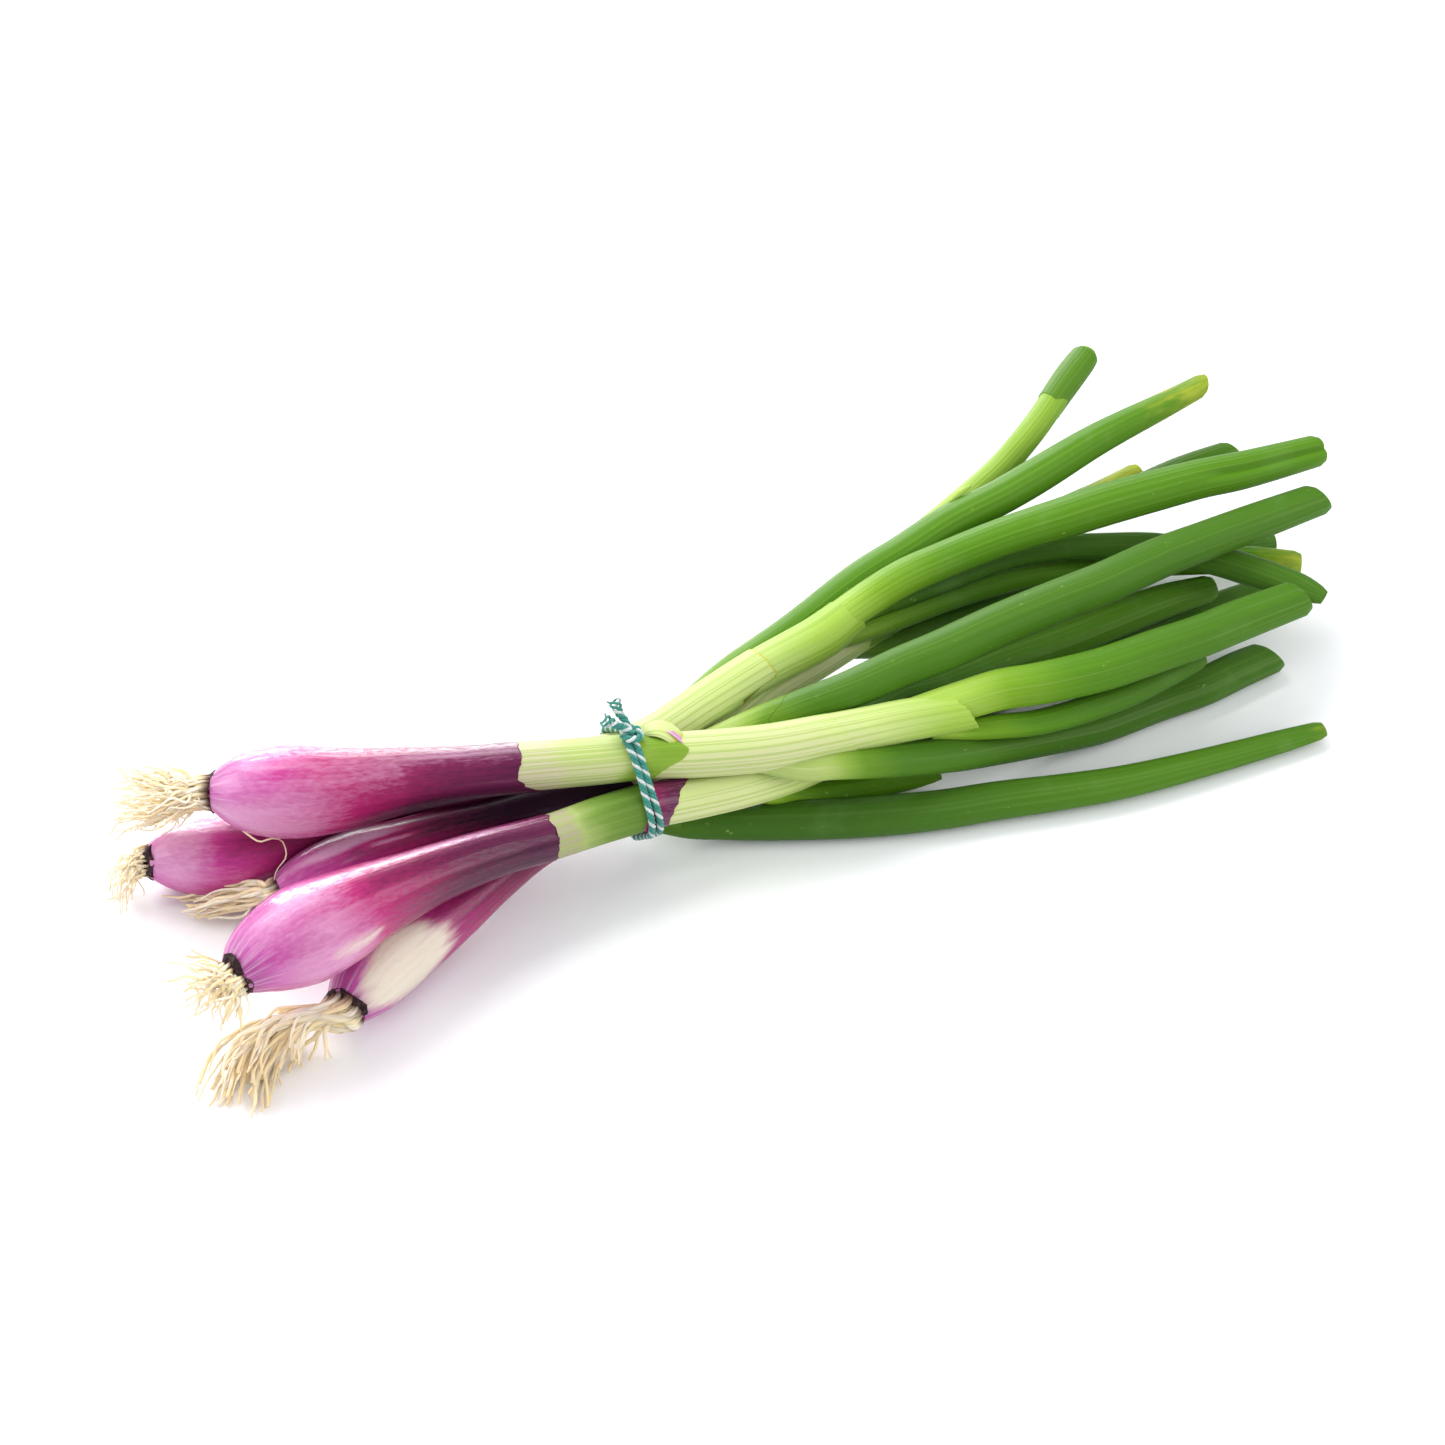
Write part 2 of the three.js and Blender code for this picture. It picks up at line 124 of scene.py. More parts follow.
@dataclass
class Route:
    """A smooth centripetal curve through given stations, in millimetres.

    Attributes:
        stations: Places as (x, y, z, radius), from the root end to the tip.
    """

    stations: Sequence[Station]
    length: float = field(init=False)
    _table: list[tuple[float, float]] = field(init=False, repr=False)

    def __post_init__(self) -> None:
        """Measure the curve once, so that poses can be asked for by distance."""
        steps = CURVE_STEPS * (len(self.stations) - 1)
        total = 0.0
        last = self.point(0.0)
        self._table = [(0.0, 0.0)]
        for k in range(1, steps + 1):
            s = (len(self.stations) - 1) * k / steps
            here = self.point(s)
            total += (here - last).length
            last = here
            self._table.append((total, s))
        self.length = total

    def point(self, s: float) -> Vector:
        """Centre of the curve between its stations.

        Args:
            s: Station number, with its fraction as the part of the way to the next one.

        Returns:
            The place in millimetres.
        """
        pts = [Vector(p[:3]) for p in self.stations]
        last = len(pts) - 1
        s = min(max(s, 0.0), float(last))
        i = min(int(s), last - 1)
        w = s - i
        before = pts[i - 1] if i > 0 else pts[0] * 2 - pts[1]
        after = pts[i + 2] if i + 2 <= last else pts[last] * 2 - pts[last - 1]
        p1, p2 = pts[i], pts[i + 1]
        d1 = max((p2 - p1).length_squared ** 0.25, NEARLY_NOTHING)
        d0 = (p1 - before).length_squared ** 0.25 or d1
        d2 = (after - p2).length_squared ** 0.25 or d1
        t1 = ((p1 - before) / d0 - (p2 - before) / (d0 + d1) + (p2 - p1) / d1) * d1
        t2 = ((p2 - p1) / d1 - (after - p1) / (d1 + d2) + (after - p2) / d2) * d1
        return (p1 + t1 * w + (p2 * 3 - p1 * 3 - t1 * 2 - t2) * w * w
                + (p1 * 2 - p2 * 2 + t1 + t2) * w**3)

    def station(self, distance: float) -> float:
        """Station number at a distance.

        Args:
            distance: Millimetres from the root end.

        Returns:
            The station number with its fraction.
        """
        for (d0, s0), (d1, s1) in zip(self._table, self._table[1:]):
            if distance <= d1:
                return mix(s0, s1, (distance - d0) / max(d1 - d0, NEARLY_NOTHING))
        return self._table[-1][1]

    def distance(self, s: float) -> float:
        """Distance at a station number.

        Args:
            s: Station number with its fraction.

        Returns:
            Millimetres from the root end.
        """
        for (d0, s0), (d1, s1) in zip(self._table, self._table[1:]):
            if s <= s1:
                return mix(d0, d1, (s - s0) / max(s1 - s0, NEARLY_NOTHING))
        return self.length

    def at(self, distance: float) -> Pose:
        """Pose at a distance; it runs on straight past either end.

        Args:
            distance: Millimetres from the root end.

        Returns:
            The place, its directions and the radius there.
        """
        inside = min(max(distance, 0.0), self.length)
        s = self.station(inside)
        heading = (self.point(self.station(min(inside + 1.0, self.length)))
                   - self.point(self.station(max(inside - 1.0, 0.0)))).normalized()
        side = heading.cross(Vector((0, 0, 1))).normalized()
        centre = self.point(s) + heading * (distance - inside)
        return Pose(centre, heading, side, side.cross(heading), self.radius(s))

    def radius(self, s: float) -> float:
        """Radius at a station number, rounded between the stations.

        Args:
            s: Station number with its fraction.

        Returns:
            The radius in millimetres.
        """
        i = min(int(s), len(self.stations) - 2)
        w = s - i
        r1, r2 = self.stations[i][3], self.stations[i + 1][3]
        slope1 = 0.5 * (r2 - self.stations[i - 1][3]) if i > 0 else 1.4 * (r2 - r1)
        slope2 = 0.5 * (self.stations[i + 2][3] - r1) if i + 2 < len(self.stations) else r2 - r1
        return (r1 + slope1 * w + (3 * r2 - 3 * r1 - 2 * slope1 - slope2) * w * w
                + (2 * r1 - 2 * r2 + slope1 + slope2) * w**3)


# ---- mesh making --------------------------------------------------------------------------------


def deselect() -> None:
    """Leave edit mode, with nothing selected."""
    if bpy.context.object is not None and bpy.context.object.mode != "OBJECT":
        bpy.ops.object.mode_set(mode="OBJECT")
    bpy.ops.object.select_all(action="DESELECT")


def straight_tube(sides: int, rings: int, mouth: float = 0.0) -> bpy.types.Mesh:
    """Model a straight unit tube by hand tools: a cylinder cut into rings, its far end hollowed.

    Args:
        sides: Faces round the tube.
        rings: Rings of points along it, at most MOST_RINGS.
        mouth: Depth of the hollow far end as a part of the length, or 0 for a plain closed end.

    Returns:
        A mesh of radius 1 that runs from z = 0 to z = 1.
    """
    deselect()
    bpy.ops.mesh.primitive_cylinder_add(vertices=sides, radius=1, depth=1, end_fill_type="NGON",
                                        location=(0, 0, 0.5))
    tube = bpy.context.object
    bpy.ops.object.transform_apply(location=True, rotation=True, scale=True)
    bpy.ops.object.mode_set(mode="EDIT")
    bpy.ops.mesh.select_mode(type="EDGE")
    bpy.ops.mesh.select_all(action="DESELECT")
    bpy.ops.object.mode_set(mode="OBJECT")
    points = tube.data.vertices
    for edge in tube.data.edges:
        low, high = (points[k].co for k in edge.vertices)
        edge.select = abs(low.z - high.z) > 0.5
    bpy.ops.object.mode_set(mode="EDIT")
    bpy.ops.mesh.subdivide(number_cuts=rings - 2)
    if mouth > 0:
        bpy.ops.mesh.select_mode(type="FACE")
        bpy.ops.mesh.select_all(action="DESELECT")
        bpy.ops.object.mode_set(mode="OBJECT")
        for face in tube.data.polygons:
            face.select = face.normal.z > 0.9 and face.center.z > 0.99
        bpy.ops.object.mode_set(mode="EDIT")
        bpy.ops.mesh.inset(thickness=WALL)
        for share, narrower in ((0.25, 0.94), (0.75, 0.9)):
            inwards = {"value": (0, 0, -mouth * share)}
            bpy.ops.mesh.extrude_region_move(TRANSFORM_OT_translate=inwards)
            bpy.ops.transform.resize(value=(narrower, narrower, 1))
    bpy.ops.object.mode_set(mode="OBJECT")
    mesh = tube.data
    bpy.data.objects.remove(tube)
    return mesh


@dataclass(frozen=True)
class Spot:
    """Where one point of a straight tube goes and what the finish reads there."""

    place: Vector
    grain: Vector
    finish: Vector


def shape_tube(name: str, straight: bpy.types.Mesh,
               rule: Callable[[int, float, float, float], Spot], copies: int = 1) -> bpy.types.Object:
    """Lay copies of a straight tube out in space by a rule and store what the finish reads.

    Args:
        name: Name of the finished piece.
        straight: Mesh from straight_tube; it is used up.
        rule: Gives the spot for (copy's number, part along, angle, part of the radius).
        copies: How many tubes the piece holds.

    Returns:
        The finished piece, its place in its mesh.
    """
    points = [point.co for point in straight.vertices]
    marks = [(p.z, math.atan2(p.y, p.x), math.hypot(p.x, p.y)) for p in points]
    faces = [tuple(face.vertices) for face in straight.polygons]
    bpy.data.meshes.remove(straight)
    spots: list[Spot] = []
    loops: list[tuple[int, ...]] = []
    for copy in range(copies):
        start = len(spots)
        spots.extend(rule(copy, *mark) for mark in marks)
        loops.extend(tuple(start + k for k in face) for face in faces)
    return finished_mesh(name, spots, loops)


def finished_mesh(name: str, spots: Sequence[Spot],
                  loops: Sequence[tuple[int, ...]]) -> bpy.types.Object:
    """Make a piece from spots and faces, kept on or above the table.

    Args:
        name: Name of the piece.
        spots: Places in millimetres before they are moved to the middle, with their marks.
        loops: Faces as point numbers.

    Returns:
        The piece as an object at the origin.
    """
    mesh = bpy.data.meshes.new(name)
    places = []
    for spot in spots:
        p = (spot.place + TO_MIDDLE) * MM
        places.append((p.x, p.y, max(p.z, GROUND * MM)))
    mesh.from_pydata(places, [], loops)
    mesh.update()
    for label, pick in (("grain", lambda s: s.grain), ("finish", lambda s: s.finish)):
        layer = mesh.attributes.new(label, "FLOAT_VECTOR", "POINT")
        layer.data.foreach_set("vector", [c for spot in spots for c in pick(spot)])
    piece = bpy.data.objects.new(name, mesh)
    bpy.context.collection.objects.link(piece)
    deselect()
    piece.select_set(True)
    bpy.context.view_layer.objects.active = piece
    bpy.ops.object.mode_set(mode="EDIT")
    bpy.ops.mesh.select_all(action="SELECT")
    bpy.ops.mesh.normals_make_consistent(inside=False)
    bpy.ops.object.mode_set(mode="OBJECT")
    bpy.ops.object.shade_smooth_by_angle(angle=math.radians(SMOOTH_UNDER))
    return piece


def swept_cord(name: str, path: Sequence[Vector], radii: Sequence[float],
               sides: int) -> bpy.types.Object:
    """Sweep a round cord along a dense path.

    Args:
        name: Name of the piece.
        path: Centres in millimetres.
        radii: Radius at each centre.
        sides: Faces round the cord.

    Returns:
        The cord as a piece.
    """
    spots: list[Spot] = []
    loops: list[tuple[int, ...]] = []
    side = Vector((0, 0, 1))
    run = 0.0
    for k, centre in enumerate(path):
        heading = (path[min(k + 1, len(path) - 1)] - path[max(k - 1, 0)]).normalized()
        side = (side - heading * side.dot(heading)).normalized()
        up = heading.cross(side)
        run += (centre - path[k - 1]).length if k else 0.0
        for j in range(sides):
            angle = 2 * math.pi * j / sides
            out = side * math.cos(angle) + up * math.sin(angle)
            grain = Vector((math.cos(angle), math.sin(angle), run))
            spots.append(Spot(centre + out * radii[k], grain, Vector()))
        if k:
            low, high = (k - 1) * sides, k * sides
            for j in range(sides):
                n = (j + 1) % sides
                loops.append((low + j, low + n, high + n, high + j))
    loops.append(tuple(reversed(range(sides))))
    loops.append(tuple(range(len(spots) - sides, len(spots))))
    return finished_mesh(name, spots, loops)


def settle(piece: bpy.types.Object, material: bpy.types.Material, slot: str,
           *nodes: str) -> None:
    """Dress a piece, tie it to the bunch and hide the solids that it stands for.

    Args:
        piece: The finished piece.
        material: Its finish.
        slot: The material slot of the solids that it takes; it is not used.
        *nodes: Solids that it replaces.
    """
    piece.data.materials.clear()
    piece.data.materials.append(material)
    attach(piece, "root")
    if nodes:
        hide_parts(*nodes)
    LOG.info("%s: %d faces", piece.name, len(piece.data.polygons))


# ---- finishes -----------------------------------------------------------------------------------


@dataclass
class Shader:
    """A node tree being built, with the Principled shader ready in it."""

    material: bpy.types.Material
    tree: bpy.types.NodeTree = field(init=False)
    surface: bpy.types.Node = field(init=False)

    def __post_init__(self) -> None:
        """Start from an empty tree that holds the surface shader and the output."""
        self.material.use_nodes = True
        self.tree = self.material.node_tree
        self.tree.nodes.clear()
        self.surface = self.tree.nodes.new("ShaderNodeBsdfPrincipled")
        output = self.tree.nodes.new("ShaderNodeOutputMaterial")
        self.tree.links.new(self.surface.outputs["BSDF"], output.inputs["Surface"])

    def feed(self, socket: bpy.types.NodeSocket, value: object) -> None:
        """Link or set one socket.

        Args:
            socket: An input.
            value: An output to link it to, or else its value.
        """
        if isinstance(value, bpy.types.NodeSocket):
            self.tree.links.new(value, socket)
        else:
            socket.default_value = value

    def add(self, kind: str, *feeds: object, **settings: object) -> bpy.types.NodeSocket:
        """Add a node with its settings and links.

        Args:
            kind: Node type without its ShaderNode prefix.
            *feeds: Values or links for the inputs that the settings leave in use, in their order;
                None leaves one as it is.
            **settings: Properties of the node.

        Returns:
            The node's first output in use.
        """
        made = self.tree.nodes.new("ShaderNode" + kind)
        for key, value in settings.items():
            setattr(made, key, value)
        for socket, value in zip([socket for socket in made.inputs if socket.enabled], feeds):
            if value is not None:
                self.feed(socket, value)
        return next(socket for socket in made.outputs if socket.enabled)

    def dress(self, **values: object) -> None:
        """Set or link inputs of the surface shader.

        Args:
            **values: Values or links by the input's name, with _ for each space in it.
        """
        for name, value in values.items():
            self.feed(self.surface.inputs[name.replace("_", " ")], value)

    def marks(self, label: str) -> tuple[bpy.types.NodeSocket, list[bpy.types.NodeSocket]]:
        """Read a stored mark of the surface.

        Args:
            label: Name of the mark.

        Returns:
            The mark as a whole and its three parts.
        """
        whole = self.add("Attribute", attribute_name=label,
                         attribute_type="GEOMETRY").node.outputs["Vector"]
        return whole, list(self.add("SeparateXYZ", whole).node.outputs)

    def streaks(self, grain: object, across: float, along: float,
                detail: float = 2.0) -> bpy.types.NodeSocket:
        """Lengthwise streaks.

        Args:
            grain: The stored grain mark, in millimetres.
            across: Width of a streak in millimetres.
            along: Length of a streak in millimetres.
            detail: Finer levels that the streaks hold.

        Returns:
            A value round 0.5.
        """
        scale = (1 / across, 1 / across, 1 / along)
        scaled = self.add("VectorMath", grain, scale, operation="MULTIPLY")
        return self.add("TexNoise", scaled, 1.0, detail, 0.55)

    def spots(self, size: float, detail: float = 3.0) -> bpy.types.NodeSocket:
        """Soft blotches, fixed to the piece.

        Args:
            size: Their size in millimetres.
            detail: Finer levels that they hold.

        Returns:
            A value round 0.5.
        """
        place = self.add("TexCoord").node.outputs["Object"]
        return self.add("TexNoise", place, 1000 / size, detail, 0.6)

    def varied(self, base: object, *patterns: tuple[object, float]) -> bpy.types.NodeSocket:
        """Make a value stray with patterns.

        Args:
            base: The value.
            *patterns: Patterns round 0.5, each with the part of it that is added.

        Returns:
            The value, now different from place to place.
        """
        for pattern, share in patterns:
            swing = self.add("Math", pattern, 0.5, operation="SUBTRACT")
            swing = self.add("Math", swing, share, operation="MULTIPLY")
            base = self.add("Math", base, swing, operation="ADD")
        return base

    def where(self, *ranges: tuple[object, float, float], share: float = 1.0) -> bpy.types.NodeSocket:
        """Pick out the places where every value is past its range.

        Args:
            *ranges: Values, each with the place where it counts as 0 and the one where it is 1.
            share: What the result is at most.

        Returns:
            A part from 0 to share.
        """
        part = None
        for value, low, high in ranges:
            step = self.add("MapRange", value, low, high, interpolation_type="SMOOTHSTEP")
            part = step if part is None else self.add("Math", part, step, operation="MULTIPLY")
        return part if share == 1.0 else self.add("Math", part, share, operation="MULTIPLY")

    def layered(self, colour: object, *layers: tuple[object, object]) -> bpy.types.NodeSocket:
        """Lay other colours over a colour.

        Args:
            colour: The colour underneath.
            *layers: Parts from 0 to 1, each with the colour that shows there.

        Returns:
            The colour with all its layers.
        """
        for part, over in layers:
            colour = self.add("Mix", part, colour, over, data_type="RGBA")
        return colour

    def graded(self, value: object, stops: Sequence[tuple[float, str]]) -> bpy.types.NodeSocket:
        """Colour a value by stops.

        Args:
            value: From 0 to 1.
            stops: Places with their hex colours.

        Returns:
            The colour.
        """
        colour = self.add("ValToRGB", value)
        elements = colour.node.color_ramp.elements
        elements.remove(elements[-1])
        elements[0].position, elements[0].color = stops[0][0], srgb(stops[0][1])
        for place, code in stops[1:]:
            elements.new(place).color = srgb(code)
        return colour

    def relief(self, depth: float, *heights: tuple[object, float]) -> None:
        """Raise the surface by patterns.

        Args:
            depth: How deep a pattern goes, in millimetres.
            *heights: Patterns, each with its share of the height.
        """
        height = None
        for pattern, share in heights:
            if share != 1.0:
                pattern = self.add("Math", pattern, share, operation="MULTIPLY")
            height = pattern if height is None else self.add("Math", height, pattern, operation="ADD")
        self.dress(Normal=self.add("Bump", 1.0, depth * MM, None, height))


@dataclass(frozen=True)
class OnionSkin:
    """Dry outer skin of a red onion: shiny magenta, mauve at the belly and plum at the neck.

    Its cells leave lengthwise streaks and short flecks that break up the shine. finish.x is the
    part along the bulb, finish.y bares the cream flesh, and finish.z is the tone: paler below 0
    and deeper above it. Besides the skin's own tone, the tone carries painted highlights and
    painted shade where a bulb's patches lay them.
    """

    name: str = "onion_skin"
    stops: tuple[tuple[float, str], ...] = (
        (0.0, "a84a90"), (0.07, "c254a4"), (0.24, "be3a90"), (0.4, "b2286e"),
        (0.58, "96205a"), (0.74, "7a2050"), (1.0, "641c46"))
    pale: str = "dca8ca"
    deep: str = "2e1028"
    root_end: str = "dcb0cf"
    flesh: tuple[str, str] = ("e6dccb", "d5c6b4")

    def build(self) -> bpy.types.Material:
        """Make the material.

        Returns:
            The finish of bulbs and of torn skin.
        """
        sh = Shader(bpy.data.materials.new(self.name))
        grain, _ = sh.marks("grain")
        _, (along, bare, tone) = sh.marks("finish")
        broad = sh.streaks(grain, 6.0, 70.0)
        fine = sh.streaks(grain, 0.8, 70.0)
        flecks = sh.streaks(grain, 0.5, 2.6, 3.0)
        colour = sh.graded(sh.varied(along, (broad, 0.25)), self.stops)
        tone = sh.varied(tone, (fine, 0.6), (broad, 0.5), (flecks, 0.8))
        # The pale and deep layers follow the tone, so where a bulb's patches set it they lay painted
        # highlights and painted shade.
        for edge, slope, shade in ((0.1, -0.8, self.pale), (0.06, 0.95, self.deep)):
            past = sh.add("Math", tone, edge, operation="ADD")
            part = sh.add("Math", past, slope, operation="MULTIPLY", use_clamp=True)
            colour = sh.layered(colour, (part, srgb(shade)))
        near_root = sh.where((along, 0.16, 0.02), (fine, 0.45, 0.62), share=0.5)
        torn = sh.varied(bare, (sh.streaks(grain, 1.6, 14.0, 4.0), 1.1))
        fibres = sh.streaks(grain, 0.8, 60.0)
        flesh = sh.layered(srgb(self.flesh[0]), (fibres, srgb(self.flesh[1])))
        colour = sh.layered(colour, (near_root, srgb(self.root_end)),
                            (sh.where((torn, 0.2, 0.9)), flesh))
        matt = sh.add("Math", fine, 0.16, operation="MULTIPLY")
        dull = sh.add("Math", tone, 0.5, operation="MULTIPLY")
        shine = sh.add("Math", 0.62, dull, operation="SUBTRACT")
        gloss = sh.add("Math", sh.where((flecks, 0.4, 0.56)), shine, operation="MULTIPLY",
                       use_clamp=True)
        sh.dress(Base_Color=colour, Roughness=sh.add("Math", 0.3, matt, operation="ADD"),
                 Specular_IOR_Level=0.3, Subsurface_Weight=0.08,
                 Subsurface_Radius=(1.0, 0.3, 0.5), Subsurface_Scale=0.002,
                 Coat_Weight=gloss, Coat_Roughness=0.08)
        sh.relief(0.1, (fine, 1.0), (flecks, 1.0), (sh.streaks(grain, 2.4, 90.0, 1.0), 1.0))
        return sh.material


@dataclass(frozen=True)
class GreenTissue:
    """Waxy living tissue: a cream stem that turns into green leaf, with fine green lines along it.

    The wax's soft sheen is painted as paler lengthwise streaks, and the wax leaves a faint bloom.
    The lines are about 0.7 mm apart, as coarse as they need to be to show. finish.x is how green
    the tissue is, finish.y how dry or yellow, and finish.z its shade from deep to bright, which
    holds painted shade and painted light as well as the tissue's own tone.
    """

    name: str = "green_tissue"
    bright: tuple[tuple[float, str], ...] = (
        (0.0, "dcd4b2"), (0.14, "ccdc8c"), (0.32, "a8c850"), (0.55, "7ea826"), (0.95, "5a8c16"))
    dark: tuple[tuple[float, str], ...] = (
        (0.0, "aaa484"), (0.14, "a4b270"), (0.32, "72903c"), (0.55, "4c7221"), (0.95, "3c6220"))
    stem_line: str = "98b44c"
    leaf_line: str = "2f5a14"
    sheen: str = "c9dc8c"
    bloom: str = "86a86c"
    nick: str = "b4c66e"
    yellowed: str = "b9bb40"
    dried: str = "a2825a"

    def build(self) -> bpy.types.Material:
        """Make the material.

        Returns:
            The finish of stems, sheaths and leaves.
        """
        sh = Shader(bpy.data.materials.new(self.name))
        grain, _ = sh.marks("grain")
        _, (green, dry, shade) = sh.marks("finish")
        fine = sh.streaks(grain, 0.8, 160.0, 1.0)
        lines = sh.where((sh.streaks(grain, 0.66, 500.0, 0.0), 0.46, 0.6))
        place = sh.varied(green, (sh.streaks(grain, 5.0, 90.0), 0.2))
        # The dark and bright copies of the greens, mixed by finish.z, paint shade and light on the
        # tissue as well as its own tone.
        colour = sh.layered(sh.graded(place, self.dark), (shade, sh.graded(place, self.bright)))
        line_colour = sh.layered(sh.layered(colour, (0.66, srgb(self.stem_line))),
                                 (sh.where((green, 0.08, 0.4)),
                                  sh.layered(colour, (0.1, srgb(self.leaf_line)))))
        faint = sh.add("Math", lines, 0.75, operation="MULTIPLY")
        colour = sh.layered(colour, (faint, line_colour))
        bloom = sh.where((sh.spots(16.0), 0.55, 0.75), (green, 0.3, 0.8))
        nicks = sh.where((sh.streaks(grain, 1.2, 3.5, 3.0), 0.7, 0.78), (green, 0.4, 0.8), share=0.4)
        old = sh.varied(dry, (sh.streaks(grain, 3.0, 12.0, 3.0), 0.45))
        colour = sh.layered(
            colour,
            # Paler fine streaks: a painted sheen.
            (sh.where((fine, 0.5, 0.72), share=0.14), sh.layered(colour, (0.35, srgb(self.sheen)))),
            (sh.add("Math", bloom, 0.1, operation="MULTIPLY"), srgb(self.bloom)),
            (nicks, srgb(self.nick)),
            (sh.where((old, 0.15, 0.6)), srgb(self.yellowed)),
            (sh.where((old, 0.75, 1.0)), srgb(self.dried)))
        matt = sh.add("Math", bloom, 0.15, operation="MULTIPLY")
        sh.dress(Base_Color=colour, Roughness=sh.add("Math", 0.46, matt, operation="ADD"),
                 Specular_IOR_Level=0.11, Subsurface_Weight=0.08,
                 Subsurface_Radius=(0.6, 1.0, 0.2), Subsurface_Scale=0.002)
        sh.relief(0.1, (lines, 0.6), (fine, 1.0))
        return sh.material


@dataclass(frozen=True)
class RootFibre:
    """Dry rootlets: matt straw colour, browner at their tips and dark where they leave the disc.

    finish.x is the part along a rootlet, finish.y its tint.
    """

    name: str = "root_fibre"
    straw: str = "f6dcaa"
    pale: str = "fdf1da"
    mottled: str = "d9b584"
    tip: str = "cfa670"
    root: str = "5a3c2e"

    def build(self) -> bpy.types.Material:
        """Make the material.

        Returns:
            The finish of rootlets.
        """
        sh = Shader(bpy.data.materials.new(self.name))
        grain, _ = sh.marks("grain")
        _, (along, tint, _) = sh.marks("finish")
        mottle = sh.streaks(grain, 0.5, 3.0, 3.0)
        colour = sh.layered(srgb(self.straw), (tint, srgb(self.pale)),
                            (sh.where((mottle, 0.5, 0.8), share=0.3), srgb(self.mottled)),
                            (sh.where((along, 0.8, 1.05), share=0.35), srgb(self.tip)),
                            (sh.where((along, 0.13, 0.0)), srgb(self.root)))
        sh.dress(Base_Color=colour, Roughness=0.6, Subsurface_Weight=0.35,
                 Subsurface_Radius=(1.0, 0.7, 0.4), Subsurface_Scale=0.002)
        sh.relief(0.12, (mottle, 1.0))
        return sh.material


@dataclass(frozen=True)
class RootCrust:
    """Dark crumbly ring of old root stumps at the end of a bulb, rough and without shine."""

    name: str = "root_crust"
    stops: tuple[tuple[float, str], ...] = (
        (0.3, "170c10"), (0.52, "35191f"), (0.68, "5c3a38"), (0.84, "b08a6c"))

    def build(self) -> bpy.types.Material:
        """Make the material.

        Returns:
            The finish of the discs.
        """
        sh = Shader(bpy.data.materials.new(self.name))
        crumbs = sh.spots(1.4, 4.0)
        sh.dress(Base_Color=sh.graded(crumbs, self.stops), Roughness=0.8)
        sh.relief(0.9, (crumbs, 1.0))
        return sh.material


@dataclass(frozen=True)
class TwineYarn:
    """Dyed fibrous yarn of one ply of the twine: matt, with hairs that catch the light."""

    name: str
    light: str
    dark: str

    def build(self) -> bpy.types.Material:
        """Make the material.

        Returns:
            The finish of a ply.
        """
        sh = Shader(bpy.data.materials.new(self.name))
        grain, (_, _, run) = sh.marks("grain")
        twist = sh.add("Math", run, 1.6, operation="MULTIPLY")
        twisted = sh.add("VectorRotate", grain, None, twist, rotation_type="Z_AXIS")
        hairs = sh.add("TexNoise", twisted, 3.5, 4.0)
        colour = sh.layered(srgb(self.dark), (sh.where((hairs, 0.35, 0.65)), srgb(self.light)))
        sh.dress(Base_Color=colour, Roughness=0.85, Sheen_Weight=0.3)
        sh.relief(0.3, (hairs, 1.0))
        return sh.material


@dataclass(frozen=True)
class TableTop:
    """Bright, faintly glossy white laminate."""

    name: str = "white_table"
    white: str = "f6f7f9"
    clouded: str = "fbfbfc"

    def build(self) -> bpy.types.Material:
        """Make the material.

        Returns:
            The finish of the table.
        """
        sh = Shader(bpy.data.materials.new(self.name))
        colour = sh.layered(srgb(self.white), (sh.spots(300.0, 2.0), srgb(self.clouded)))
        sh.dress(Base_Color=colour, Roughness=0.28)
        return sh.material


# ---- bulbs, stems and leaves --------------------------------------------------------------------

SWELL_REACH = 14.0  # how far before its end a strand starts to widen, in mm
BLUNT_REACH = 2.2  # how far before its end its edge is rounded, in mm
PINCH_REACH = 26.0  # how far before its end it starts to be pressed flat, in mm
TORN_REACH = 6.0  # how far before its end the torn teeth pull at it, in mm
CREASE_FADE = 12.0  # how far a crease takes to fade out, in mm
LEAST_ROOM = 9.0  # shortest stretch over which a slanted end is drawn out, in mm
UNDER_SKIN = 8.0  # how far a stem reaches in under the skin, in mm
LAYER_WAVE = 1.5  # how far the edge of an outer skin weaves, in mm
LAYER_STEP = 0.8  # half the width of that edge, in mm
RIM_REACH = 1.4  # how far the dryness of a far edge reaches in, in mm
PALER_BY_SKIN = 0.2  # how much less green a blushed stem is by the skin
PALER_INSIDE = 0.25  # how much less green the hollow of a strand is


def wobble(grain: Vector, seed: float, across: float, along: float) -> float:
    """Smooth random value near -1 to 1 on a strand's surface.

    Args:
        grain: The spot's grain mark in millimetres.
        seed: Number that sets the random shape.
        across: Size of a lump round the strand in millimetres.
        along: Size of a lump along it in millimetres.

    Returns:
        The value at the spot.
    """
    place = (grain.x / across + seed, grain.y / across - seed, grain.z / along + seed)
    return noise.noise(Vector(place))


